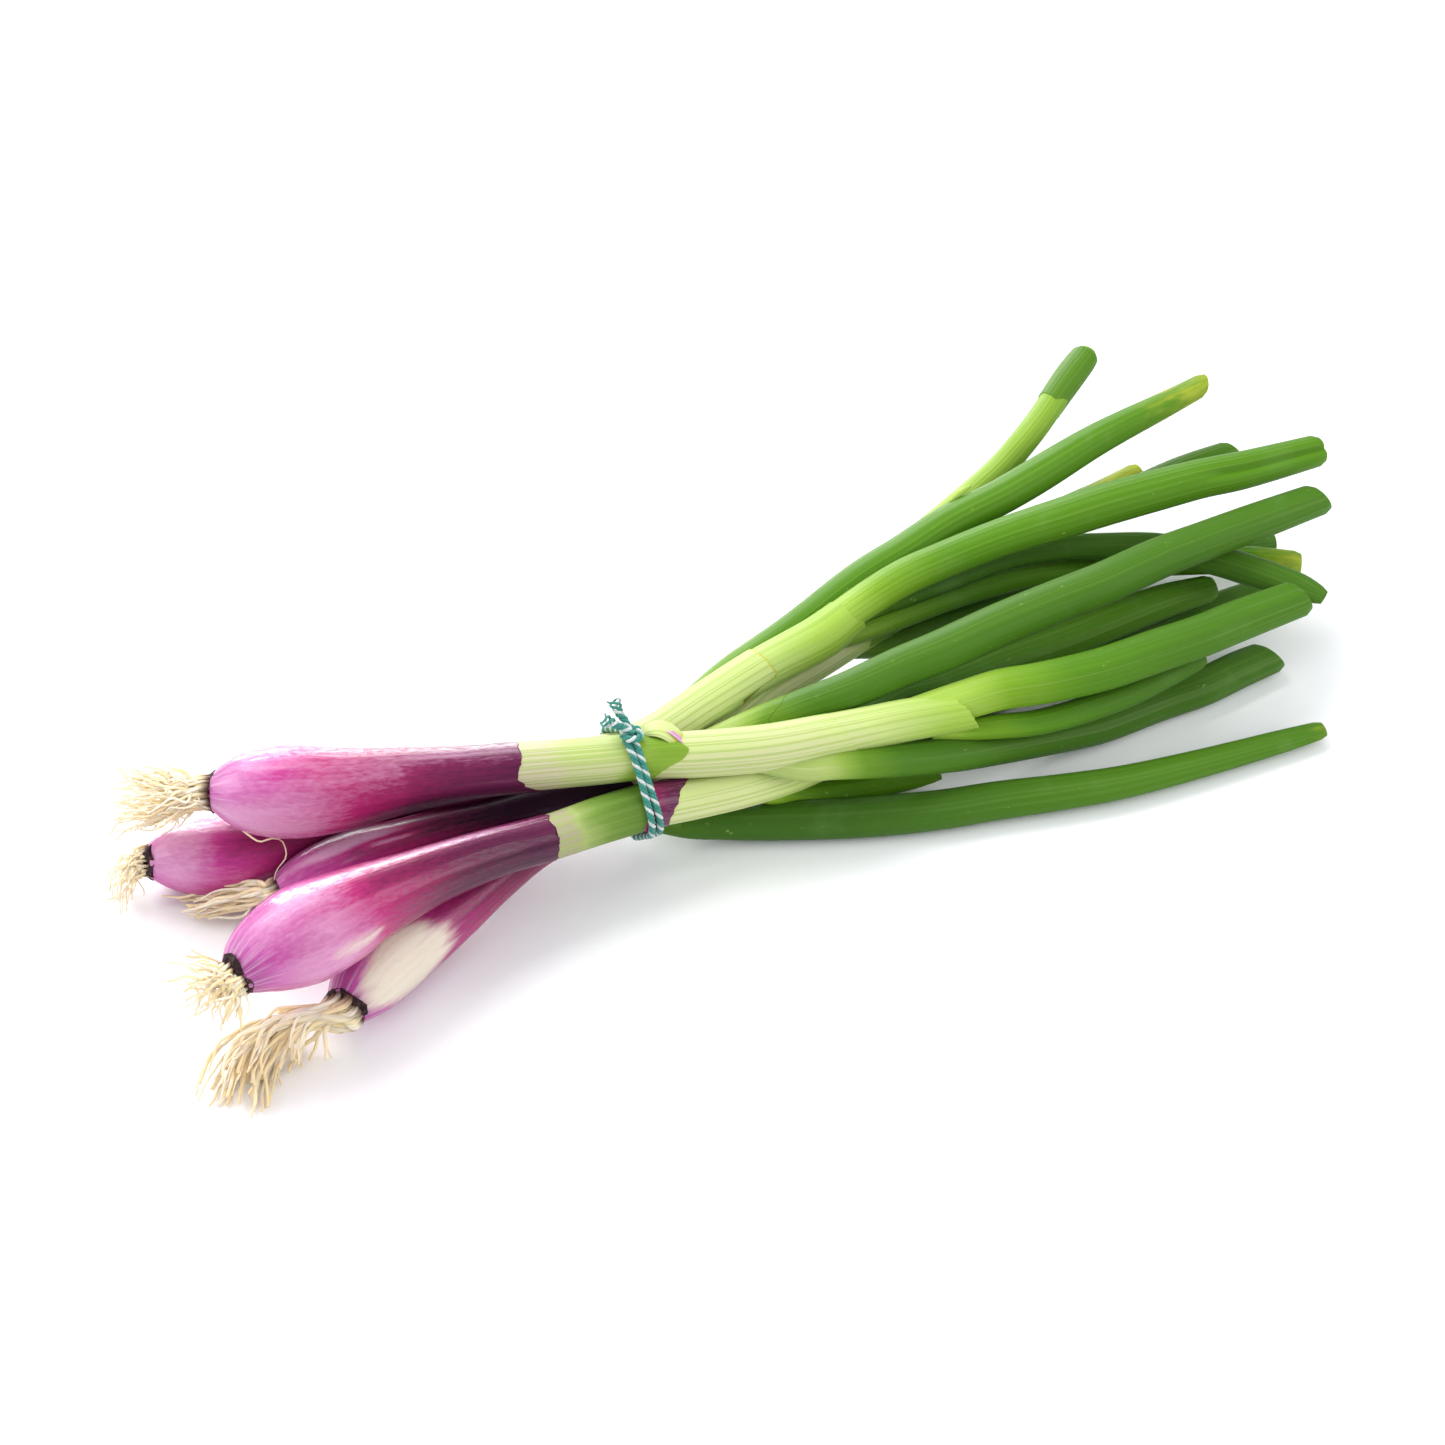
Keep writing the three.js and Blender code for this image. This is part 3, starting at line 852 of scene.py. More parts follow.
@dataclass
class Strand:
    """A grown tube that follows a route.

    Attributes:
        name: Name of the piece.
        route: Its centre line and radius.
        start: Distance along the route where it begins.
        end: Distance along the route where it ends.
        sides: Faces round it.
        spacing: Millimetres between rings.
        wide: Half width over the stated radius.
        high: Half height over the stated radius.
        seed: Number that sets its random shape.
        lumps: Slow swelling and dents, as a part of the radius.
        ribs: Height of the lengthwise ribs in millimetres.
        cut: Slant of the far end in millimetres.
        cut_turn: Which way the slant faces, in degrees round the tube.
        ragged: Height of the torn teeth at the far end in millimetres.
        mouth: Depth of the hollow at the far end in millimetres, 0 where it is closed.
        pinch: How far the far end is pressed flat, from 0 to 1.
        creases: Lengthwise dents as (angle in degrees, depth part, width in degrees, from mm, to mm).
        swell: How much wider its last stretch is, as a part of the radius.
        blunt: How far the edge of its far end is rounded in, as a part of the radius.
        start_cut: Slant of the near end in millimetres, facing as the far one does.
        tongue: Longer flap of the far end as (angle in degrees, width in degrees, millimetres).
        lap: Lengthwise seam as (angle in degrees, millimetres by which the far end is shorter below it).
    """

    name: str
    route: Route
    start: float = 0.0
    end: float = 0.0
    sides: int = 44
    spacing: float = 2.2
    wide: float = 1.0
    high: float = 1.0
    seed: float = 1.0
    lumps: float = 0.03
    ribs: float = 0.05
    cut: float = 0.0
    cut_turn: float = 90.0
    ragged: float = 0.0
    mouth: float = 0.0
    pinch: float = 0.0
    creases: Sequence[tuple[float, float, float, float, float]] = ()
    swell: float = 0.0
    blunt: float = 0.0
    start_cut: float = 0.0
    tongue: tuple[float, float, float] = (0.0, 1.0, 0.0)
    lap: tuple[float, float] = (0.0, 0.0)

    def __post_init__(self) -> None:
        """Take the whole route where no end is given."""
        if self.end <= 0:
            self.end = self.route.length

    def spot(self, part: float, angle: float, reach: float) -> Spot:
        """Spot of the surface, or of the hollow inside it.

        Args:
            part: Part of the way along, from 0 to 1.
            angle: Angle round the tube in radians.
            reach: Part of the radius.

        Returns:
            The place with its grain and finish marks.
        """
        run = mix(self.start, self.end, part)
        pose = self.route.at(run)
        left = self.end - run
        size = pose.radius * (1 + self.swell * ease(SWELL_REACH, 0.0, left))
        size *= 1 - self.blunt * ease(BLUNT_REACH, 0.0, left)
        ends = self.route.at(self.start).radius + self.route.at(self.end).radius
        even = max(3.0, 0.5 * ends)
        grain = Vector((even * math.cos(angle), even * math.sin(angle), run))
        lump = self.lumps * wobble(grain, self.seed, even * 1.3, 26.0)
        rib = (self.ribs * wobble(grain, self.seed + 7, 1.5, 90.0)
               + self.ribs * 2 * wobble(grain, self.seed + 3, 4.0, 70.0))
        press = self.pinch * ease(PINCH_REACH, 2.0, left)
        across = size * self.wide * (1 + 0.22 * press)
        tall = size * self.high * (1 - 0.6 * press)
        dent = 0.0
        for turn, depth, width, low, high in self.creases:
            off = turned_from(angle, turn, width)
            deep = depth * math.exp(-off * off)
            deep *= ease(low - CREASE_FADE, low, run)
            dent += deep * ease(high + CREASE_FADE, high, run)
        scale = reach * (1 + lump - dent) + reach * rib / max(size, 1.0)
        place = (pose.point + pose.side * (math.cos(angle) * across * scale)
                 + pose.up * (math.sin(angle) * tall * scale))
        place = place + pose.heading * (self.slant(run, angle) + self.teeth(grain, left))
        return Spot(place, grain, self.finish(run, angle, reach))

    def slant(self, run: float, angle: float) -> float:
        """How far the cuts at both ends, the tongue and the seam move a spot along the strand.

        Args:
            run: Distance along the route.
            angle: Angle round the tube in radians.

        Returns:
            Millimetres towards the far end.
        """
        turn, width, far = self.tongue
        off = turned_from(angle, turn, width)
        facing = math.cos(angle - math.radians(self.cut_turn))
        seam, short = self.lap
        past = math.remainder(seam - math.degrees(angle), 360.0)
        lapped = short * ease(-7, 7, past) * ease(175, 120, past)
        room = max(LEAST_ROOM, 2.4 * abs(self.cut), 2.0 * abs(far), 2.0 * short)
        near_room = max(LEAST_ROOM, 2.4 * abs(self.start_cut))
        slant = self.cut * facing + far * math.exp(-off * off) - lapped
        slant *= ease(room, 0.0, self.end - run)
        return slant + self.start_cut * facing * ease(self.start + near_room, self.start, run)

    def teeth(self, grain: Vector, left: float) -> float:
        """Torn teeth of the far end.

        Args:
            grain: The spot's grain mark.
            left: Distance to the far end.

        Returns:
            Millimetres towards the far end.
        """
        coarse = wobble(grain, self.seed + 11, 2.4, 50.0)
        fine = wobble(grain, self.seed + 19, 0.9, 50.0)
        return self.ragged * ease(TORN_REACH, 0.0, left) * (coarse + 0.6 * fine)

    def finish(self, run: float, angle: float, reach: float) -> Vector:
        """Mark that the strand's finish reads; each kind of strand has its own."""
        return Vector((0, 0, 0))

    def build(self) -> bpy.types.Object:
        """Make the piece.

        Returns:
            The piece, which still needs its finish.
        """
        length = self.end - self.start
        rings = min(MOST_RINGS, max(6, round(length / self.spacing) + 1))
        straight = straight_tube(self.sides, rings, self.mouth / length)
        return shape_tube(self.name, straight, lambda _, *mark: self.spot(*mark))


@dataclass
class Bulb(Strand):
    """The swollen bulb in its purple skin, whose torn end lies on the stem.

    Attributes:
        shift: Added to the part along the bulb that its colour reads.
        tone: Depth of colour of the whole bulb.
        bare: Flesh laid bare, as (turn, half width, middle, half length, part), in degrees and mm.
        patches: Paler or deeper zones, as (turn, half width, middle, half length, tone); some are
        the skin's own colour, some painted highlights and some painted shade.
        layer: Distance where an outer skin ends and a deeper one starts, and the tone that it adds.
    """

    sides: int = 64
    spacing: float = 1.0
    shift: float = 0.0
    tone: float = 0.0
    bare: Sequence[tuple[float, float, float, float, float]] = ()
    patches: Sequence[tuple[float, float, float, float, float]] = ()
    layer: tuple[float, float] = (PAST_END, 0.0)

    def finish(self, run: float, angle: float, reach: float) -> Vector:
        """Mark for the skin.

        Args:
            run: Distance along the route.
            angle: Angle round the tube in radians.
            reach: Part of the radius.

        Returns:
            Part along the bulb, bared flesh and tone.
        """
        part = (run - self.start) / (self.end - self.start) + self.shift
        edge, deeper = self.layer
        past = run - edge - LAYER_WAVE * math.sin(3 * angle)
        tone = self.tone + deeper * ease(-LAYER_STEP, LAYER_STEP, past)
        for turn, width, middle, half, amount in self.patches:
            off = math.hypot(turned_from(angle, turn, width), (run - middle) / half)
            tone += amount * ease(1.3, 0.3, off)
        bare = 0.0
        for turn, width, middle, half, amount in self.bare:
            off = math.hypot(turned_from(angle, turn, width), (run - middle) / half)
            bare = max(bare, amount * ease(1.5, 0.6, off))
        return Vector((part, bare, tone))


@dataclass
class Green(Strand):
    """A stem, sheath or leaf: cream where it is young or shaded, green further out.

    Attributes:
        pale_to: Distance along the route where the green begins.
        green_at: Distance along the route where it is fully green.
        least: How green the pale part is.
        most: How green the far part is.
        shade: From 0, deep, to 1, bright: the strand's own tone together with painted shade and light.
        dry_tip: How yellow the last stretch is.
        dry_reach: Length of that stretch.
        dry: How yellow the whole strand is.
        rim: How dry its far edge is.
        shade_far: Shade of the far end where it differs, painted light and shade as well as tone.
        blush: Length by the skin's edge where the green fades to beige.
    """

    pale_to: float = 0.0
    green_at: float = 60.0
    least: float = 0.0
    most: float = 1.0
    shade: float = 0.5
    dry_tip: float = 0.0
    dry_reach: float = 30.0
    dry: float = 0.0
    rim: float = 0.0
    shade_far: float | None = None
    blush: float = 0.0

    def finish(self, run: float, angle: float, reach: float) -> Vector:
        """Mark for the green tissue.

        Args:
            run: Distance along the route.
            angle: Angle round the tube in radians.
            reach: Part of the radius.

        Returns:
            Greenness, dryness and shade.
        """
        green = mix(self.least, self.most, ease(self.pale_to, self.green_at, run))
        if self.blush:
            edge = self.start + UNDER_SKIN
            green -= PALER_BY_SKIN * ease(edge + self.blush, edge - 2, run)
        left = self.end - run
        dry = self.dry + self.dry_tip * ease(self.dry_reach, 0.0, left)
        rim = self.rim * ease(RIM_REACH, 0.0, left)
        inside = PALER_INSIDE if reach < 1 - WALL / 2 and self.mouth else 0.0
        # The shade paints light and shade into the colour along with the strand's own tone.
        far = self.shade if self.shade_far is None else self.shade_far
        shade = mix(self.shade, far, ease(0.25, 0.75, run / self.route.length))
        return Vector((green - inside, min(1.0, dry + rim), shade))


# ---- roots --------------------------------------------------------------------------------------

GOLDEN_ANGLE = 2.399963  # turn between one rootlet and the next, in radians
ROOTLET_SIDES = 6
ROOTLET_RINGS = 24


@dataclass
class RootTuft:
    """The crusty disc under a bulb and the many rootlets that hang from it.

    Attributes:
        name: Name of the tuft's pieces.
        route: Route of the onion it belongs to.
        reach: Where the middle of the tuft goes, as places in millimetres.
        spread: How far the ends stray from each other, in millimetres.
        count: Number of rootlets.
        seed: Number that sets the random draw.
        thick: Usual radius of a rootlet in millimetres.
        curl: How crooked the rootlets are, in millimetres.
        strays: Single long rootlets as lists of places.
    """

    name: str
    route: Route
    reach: Sequence[tuple[float, float, float]]
    spread: float
    count: int
    seed: int
    thick: float = 0.58
    curl: float = 2.4
    strays: Sequence[Sequence[tuple[float, float, float]]] = ()

    def paths(self) -> list[list[Vector]]:
        """Centre lines of the rootlets.

        Returns:
            The places of each rootlet, from the disc to its tip.
        """
        draw = random.Random(self.seed)
        end = self.route.at(0.0)
        lines: list[list[Vector]] = []
        for n in range(self.count):
            angle = n * GOLDEN_ANGLE + draw.uniform(-0.3, 0.3)
            out = end.radius * 0.86 * math.sqrt((n + 0.5) / self.count)
            offset = end.side * (math.cos(angle) * out) + end.up * (math.sin(angle) * out)
            start = end.point + offset * 1.12 - end.heading * draw.uniform(-0.5, 0.8)
            part = draw.uniform(0.35, 1.0) if n % 3 else draw.uniform(0.75, 1.08)
            loose = self.spread * draw.uniform(0.25, 1.15)
            turn = angle + draw.uniform(-0.8, 0.8)
            line = [start, start - end.heading * draw.uniform(2.0, 4.0) - offset * 0.06]
            for k, goal in enumerate(self.reach):
                share = (k + 1) / len(self.reach)
                place = end.point.lerp(Vector(goal), part) + offset * (0.7 * share)
                aside = end.side * math.cos(turn) + end.up * (0.75 * math.sin(turn))
                place += aside * (loose * share)
                place += Vector([draw.uniform(-1.4, 1.4) for _ in range(3)])
                place.z = max(place.z, GROUND + self.thick + draw.uniform(0.0, 1.6))
                line.append(place)
            lines.append(line)
        lines.extend([Vector(p) for p in stray] for stray in self.strays)
        return lines

    def build(self, fibre: bpy.types.Material, crust: bpy.types.Material, node: str) -> None:
        """Make and settle the crust and the rootlets.

        Args:
            fibre: Finish of the rootlets.
            crust: Finish of the disc.
            node: The solid that both stand for.
        """
        end = self.route.at(0.0)
        past = self.route.at(0.7)
        disc = Route([(*(end.point - end.heading * 1.1)[:], end.radius * 0.55),
                      (*(end.point - end.heading * 0.6)[:], end.radius * 0.9),
                      (*end.point[:], end.radius * 1.0), (*past.point[:], past.radius * 1.01)])
        knob = Strand(self.name + "_crust", disc, sides=56, spacing=0.2, lumps=0.16, ribs=0.5,
                      ragged=1.5, seed=self.seed * 1.7).build()
        settle(knob, crust, "roots", node)
        lines = [Route([(*p[:], 1.0) for p in line]) for line in self.paths()]
        draw = random.Random(self.seed + 5)
        sizes = [self.thick * draw.uniform(0.7, 1.25) for _ in lines]
        tints = [draw.random() for _ in lines]
        straight = straight_tube(ROOTLET_SIDES, ROOTLET_RINGS)

        def spot(copy: int, part: float, angle: float, reach: float) -> Spot:
            """Spot of one rootlet, thinner and more crooked towards its tip.

            Args:
                copy: The rootlet's number.
                part: Part of the way along it.
                angle: Angle round it in radians.
                reach: Part of its radius.

            Returns:
                The place with its marks.
            """
            line = lines[copy]
            pose = line.at(part * line.length)
            size = sizes[copy] * mix(1.15, 0.45, part**1.6) * reach
            size *= 1 + 0.22 * noise.noise(Vector((copy * 3.1, part * 9.0, 0.0)))
            turn = part * line.length / 7.5
            bends = [noise.noise(Vector((copy * 1.7 + k * 9.1, turn, k))) for k in range(3)]
            stray = Vector(bends)
            centre = pose.point + stray * (self.curl * ease(0.0, 0.5, part))
            centre.z = max(centre.z, GROUND + size)
            place = centre + (pose.side * math.cos(angle) + pose.up * math.sin(angle)) * size
            grain = Vector((math.cos(angle), math.sin(angle), part * line.length + copy * 40))
            return Spot(place, grain, Vector((part, tints[copy], 0)))

        tuft = shape_tube(self.name, straight, spot, len(lines))
        settle(tuft, fibre, "roots", node)


# ---- twine --------------------------------------------------------------------------------------


class Ply(Enum):
    """The three plies of the twine and their yarn."""

    FIRST_TEAL = "teal_yarn"
    SECOND_TEAL = "teal_yarn_too"
    WHITE = "white_yarn"


@dataclass
class Twine:
    """Three-ply twine in two close turns round the stems, with a knot on top and short ends.

    Attributes:
        stems: Round stems that it holds, as (y, z, radius) in its plane.
        middle: Where it goes round the bunch, along X.
        pitch: Distance between its turns.
        turns: Number of turns.
        ply_radius: Radius of a ply.
        ply_orbit: Distance of a ply's centre from the twine's.
        lay: Length of one full twist.
        slack: Gap between the stems and the twine.
        bite: How much of a ply's radius counts in the twine's own.
        splay: How far the plies spread at a frayed end.
        spacing: Distance between the places that make it round.
        drift: How far it strays from an even pitch.
        sides: Faces round a ply.
    """

    stems: Sequence[tuple[float, float, float]]
    middle: float = -57.0
    pitch: float = 2.35
    turns: int = 2
    ply_radius: float = 0.56
    ply_orbit: float = 0.62
    lay: float = 4.6
    slack: float = 0.25
    bite: float = 0.8
    splay: float = 1.5
    spacing: float = 0.7
    drift: float = 0.5
    sides: int = 9

    def loop(self, offset: float) -> list[tuple[float, float]]:
        """Tight outline round the stems.

        Args:
            offset: How far it stands off the stems.

        Returns:
            A closed run of (y, z), from its top.
        """
        cloud = sorted({(round(y + (r + offset) * math.cos(a * math.pi / 90), 5),
                         round(z + (r + offset) * math.sin(a * math.pi / 90), 5))
                        for y, z, r in self.stems for a in range(180)})

        def bends_in(hull: list[tuple[float, float]], p: tuple[float, float]) -> bool:
            """Whether the last point lies inside the outline that goes on to p."""
            (y0, z0), (y1, z1) = hull[-2:]
            return (y1 - y0) * (p[1] - z0) - (z1 - z0) * (p[0] - y0) <= 0

        def half(points: Sequence[tuple[float, float]]) -> list[tuple[float, float]]:
            """One side of the outline.

            Args:
                points: Every point, from one side to the other.

            Returns:
                Those that the outline turns at.
            """
            hull: list[tuple[float, float]] = []
            for p in points:
                while len(hull) > 1 and bends_in(hull, p):
                    hull.pop()
                hull.append(p)
            return hull

        outline = half(cloud)[:-1] + half(cloud[::-1])[:-1]
        top = max(range(len(outline)), key=lambda k: outline[k][1])
        return outline[top:] + outline[: top + 1]

    def path(self) -> list[Vector]:
        """Dense centre line of the turns.

        Returns:
            Places in millimetres.
        """
        loop = self.loop(self.slack + self.ply_orbit + self.ply_radius * self.bite)
        runs = [0.0]
        for (y0, z0), (y1, z1) in zip(loop, loop[1:]):
            runs.append(runs[-1] + math.hypot(y1 - y0, z1 - z0))
        total = runs[-1]
        count = int(total * self.turns / self.spacing)
        line: list[Vector] = []
        for n in range(count + 1):
            goal = total * self.turns * n / count
            here = goal % total if n < count else total
            k = next(i for i in range(1, len(runs)) if runs[i] >= here - NEARLY_NOTHING)
            w = (here - runs[k - 1]) / (runs[k] - runs[k - 1])
            x = self.middle + self.pitch * self.turns * (n / count - 0.5)
            x += self.drift * noise.noise(Vector((goal * 0.05, 0, 0)))
            y, z = (mix(low, high, w) for low, high in zip(loop[k - 1], loop[k]))
            line.append(Vector((x, y, z)))
        return line

    def plies(self, line: Sequence[Vector], fray: float) -> list[list[Vector]]:
        """Centre lines of the plies twisted round a line.

        Args:
            line: Centre line of the twine.
            fray: How far they spread at its far end, in millimetres.

        Returns:
            One line for each ply.
        """
        side = Vector((1, 0, 0))
        run = 0.0
        strands: list[list[Vector]] = [[], [], []]
        for k, centre in enumerate(line):
            heading = (line[min(k + 1, len(line) - 1)] - line[max(k - 1, 0)]).normalized()
            side = (side - heading * side.dot(heading)).normalized()
            up = heading.cross(side)
            run += (centre - line[k - 1]).length if k else 0.0
            spread = self.ply_orbit + fray * (k / (len(line) - 1)) ** 3
            for n, strand in enumerate(strands):
                angle = -2 * math.pi * (run / self.lay + n / 3)
                strand.append(centre + (side * math.cos(angle) + up * math.sin(angle)) * spread)
        return strands

    def lines(self) -> dict[str, tuple[list[Vector], float]]:
        """Each length of twine: the turns, the knot and the ends.

        Returns:
            The centre line and the fraying of each, by name.
        """
        turns = self.path()
        made: dict[str, tuple[list[Vector], float]] = {"twine": (turns, 0.0)}
        tie = Vector((self.middle, turns[0].y, turns[0].z))
        for name, (steps, fray, offsets) in self.tied().items():
            route = Route([(tie.x + x, tie.y + y, tie.z + z, 1) for x, y, z in offsets])
            made[name] = ([route.at(route.length * k / steps).point for k in range(steps + 1)], fray)
        return made

    def tied(self) -> dict[str, tuple[int, float, Sequence[tuple[float, float, float]]]]:
        """The knot and the two ends that leave it.

        Returns:
            Steps, fraying and places from the top of the turns, by name.
        """
        return {
            "twine_knot": (60, 0.0, (
                (-2.4, -1.0, 0.2), (-1.0, 1.4, 1.9), (2.2, 1.0, 1.6), (1.8, -1.8, 1.0),
                (-1.6, -2.2, 1.8), (-2.4, 1.2, 1.1), (0.4, 2.2, 1.3), (2.2, -0.4, 0.3))),
            "twine_end_left": (26, self.splay, (
                (0.5, 0, 1.5), (-2.5, 1.5, 4.0), (-5.0, 2.6, 5.8), (-7.6, 4.2, 7.0))),
            "twine_end_right": (26, self.splay, (
                (-0.5, 0, 1.5), (-0.4, 3.4, 3.6), (-1.4, 6.4, 5.6), (-1.6, 9.4, 8.2))),
        }

    def build(self, yarns: dict[Ply, bpy.types.Material]) -> None:
        """Make and settle every ply.

        Args:
            yarns: Finish of each ply.
        """
        for name, (line, fray) in self.lines().items():
            thinning = 0.45 * fray / self.splay
            for ply, centre in zip(Ply, self.plies(line, fray)):
                last = len(centre) - 1
                radii = [self.ply_radius * (1 - thinning * (k / last) ** 4) for k in range(last + 1)]
                cord = swept_cord(f"{name}_{ply.value}", centre, radii, self.sides)
                settle(cord, yarns[ply], "twine", "twine")


# ---- the bunch ----------------------------------------------------------------------------------

# Middle line and radius of each onion, from its roots through its bulb and stem to its leaves.
ROUTES: dict[str, Sequence[Station]] = {
    "a": ((-177, 16, 39, 5.6), (-168, 12, 39, 12.1), (-156, 6.4, 39, 14.2), (-142, 1.4, 38.6, 12.8),
          (-125, -2.6, 38.5, 10.3), (-107, -7.6, 38.5, 8.5), (-90, -12.6, 38.5, 7.6),
          (-66, -20, 38, 7.2), (-53, -24, 38, 7.1), (-38, -29, 37, 7.3), (-16, -34, 35, 7.4),
          (3, -36, 33.5, 7.2), (16, -37, 32.5, 7), (26, -38, 32, 6.9), (46, -41, 31, 6.5)),
    "b": ((-198, 22, 12.5, 5.2), (-190, 20, 11.8, 10), (-179, 16, 11.5, 12.2), (-169, 13, 11.7, 11.3),
          (-156, 12, 14, 9.2), (-140, 10, 16, 7.6), (-122, 7, 20, 6.7), (-104, 1, 24, 6.5),
          (-86, -3, 26, 6.5), (-62, -9, 28, 6.5), (-48, -11, 30, 6.5), (-27, -7, 33, 6.6),
          (-4, -1, 34, 7), (19, 3, 35.3, 7.5), (30, 6.8, 36.6, 7)),
    "c": ((-166, -5, 12, 4), (-159, -5, 13, 7), (-151, -5, 13.5, 8.6), (-140, -4, 14, 8.2),
          (-127, -5, 15, 7), (-114, -6, 16, 6.2), (-96, -10, 18, 6), (-78, -14, 21, 6.1),
          (-59, -17, 22, 6.1), (-51, -17, 22, 6.1), (-30, -12, 21.5, 6.2), (-2, -1, 23, 6.2),
          (22, 5.5, 23.5, 6), (42, 12.5, 21.5, 5.4)),
    "d": ((-194, -53, 36, 6), (-186, -50, 36.6, 11.2), (-173, -47.7, 37.3, 14.6),
          (-160, -45.7, 37.3, 13.7), (-152, -43.7, 36.8, 12.2), (-139, -40.7, 35.3, 10.2),
          (-126, -37.7, 33.3, 8.7), (-106, -34.7, 30.2, 7.4), (-88, -34, 28, 6.9), (-72, -33, 27, 7.1),
          (-57, -33, 26, 7.1), (-40, -34, 24, 6.9), (-26, -34, 22, 6.8), (-8, -32, 19, 6.8),
          (8, -29, 17, 6.6)),
    "e": ((-164, -57, 11.5, 6.5), (-156, -51, 11.6, 10.5), (-147, -45, 11.3, 11.8),
          (-135, -41, 12, 10.3), (-122, -37, 13, 8.5), (-105, -30.2, 14, 6.9), (-88, -24, 14.3, 6),
          (-69, -22, 14.2, 5.7), (-53, -24, 12.8, 5.6), (-44, -27.6, 10.5, 5.7)),
}
# The station where each bulb's skin ends.
SKIN_END = {"a": 6.0, "b": 8.4, "c": 8.2, "d": 7.92, "e": 8.3}
SKIN_THICKNESS = 0.25  # how far the stem lies below the routes' radius, in mm


@dataclass
class Onion:
    """One onion: its bulb, stem, loose sheaths, leaves and roots.

    Attributes:
        key: Its letter in the piece names.
        bulb: Settings of the bulb.
        stem: Settings of the stem.
        leaves: Stations and settings of each leaf.
        roots: Settings of the root tuft.
        sheaths: Thin outer layers as (name, from station, to station, extra radius, settings).
        scraps: Folds and torn bits as (name, solid they belong to, stations, settings).
    """

    key: str
    bulb: dict
    stem: dict
    leaves: dict[int, tuple[Sequence[Station], dict]]
    roots: dict
    sheaths: Sequence[tuple[str, float, float, float, dict]] = ()
    scraps: Sequence[tuple[str, str, Sequence[Station], dict]] = ()

    def build(self, skin: bpy.types.Material, green: bpy.types.Material,
              fibre: bpy.types.Material, crust: bpy.types.Material) -> None:
        """Make every piece of the onion.

        Args:
            skin: Finish of the bulb.
            green: Finish of the stem and leaves.
            fibre: Finish of the rootlets.
            crust: Finish of the disc that they grow from.
        """
        route = self.widened(0.0)
        edge = route.distance(SKIN_END[self.key])
        label = "onion_" + self.key
        bulb = Bulb(label + "_bulb", route, 0.0, edge, seed=ord(self.key), ragged=1.7, lumps=0.02,
                    ribs=0.03, swell=0.04, **self.bulb).build()
        settle(bulb, skin, "bulb_skin", label + "_bulb")
        seed = ord(self.key) + 0.5
        stem = Green(label + "_stem", self.widened(-SKIN_THICKNESS), edge - UNDER_SKIN, 0.0,
                     seed=seed, lumps=0.012, ribs=0.04, **self.stem).build()
        settle(stem, green, "pale_stem", label + "_stem")
        for name, low, high, extra, settings in self.sheaths:
            wider = self.widened(extra)
            kind = Bulb if "patches" in settings else Green
            sheath = kind(f"{label}_{name}", wider, wider.distance(low), wider.distance(high),
                          seed=seed, spacing=1.2, lumps=0.012, ribs=0.04, **settings).build()
            settle(sheath, skin if kind is Bulb else green, "pale_stem", label + "_stem")
        for number, (stations, settings) in self.leaves.items():
            leaf = Green(f"{label}_leaf_{number}", Route(stations),
                         seed=ord(self.key) + number * 3.3, wide=1.04, high=0.9, lumps=0.015,
                         ribs=0.018, blunt=0.18, **settings).build()
            settle(leaf, green, "green_leaf", f"{label}_leaf_{number}")
        for name, node, stations, settings in self.scraps:
            kind = Bulb if "patches" in settings else Green
            scrap = kind(f"{label}_{name}", Route(stations), seed=len(name) + stations[0][0],
                         **({"spacing": 0.5} | settings)).build()
            slot = "bulb_skin" if kind is Bulb else "green_leaf" if "leaf" in node else "pale_stem"
            settle(scrap, skin if kind is Bulb else green, slot, node)
        RootTuft(label + "_roots", route, **self.roots).build(fibre, crust, label + "_roots")

    def widened(self, extra: float) -> Route:
        """The onion's route with a radius that is larger by extra, in millimetres."""
        return Route([(x, y, z, r + extra) for x, y, z, r in ROUTES[self.key]])


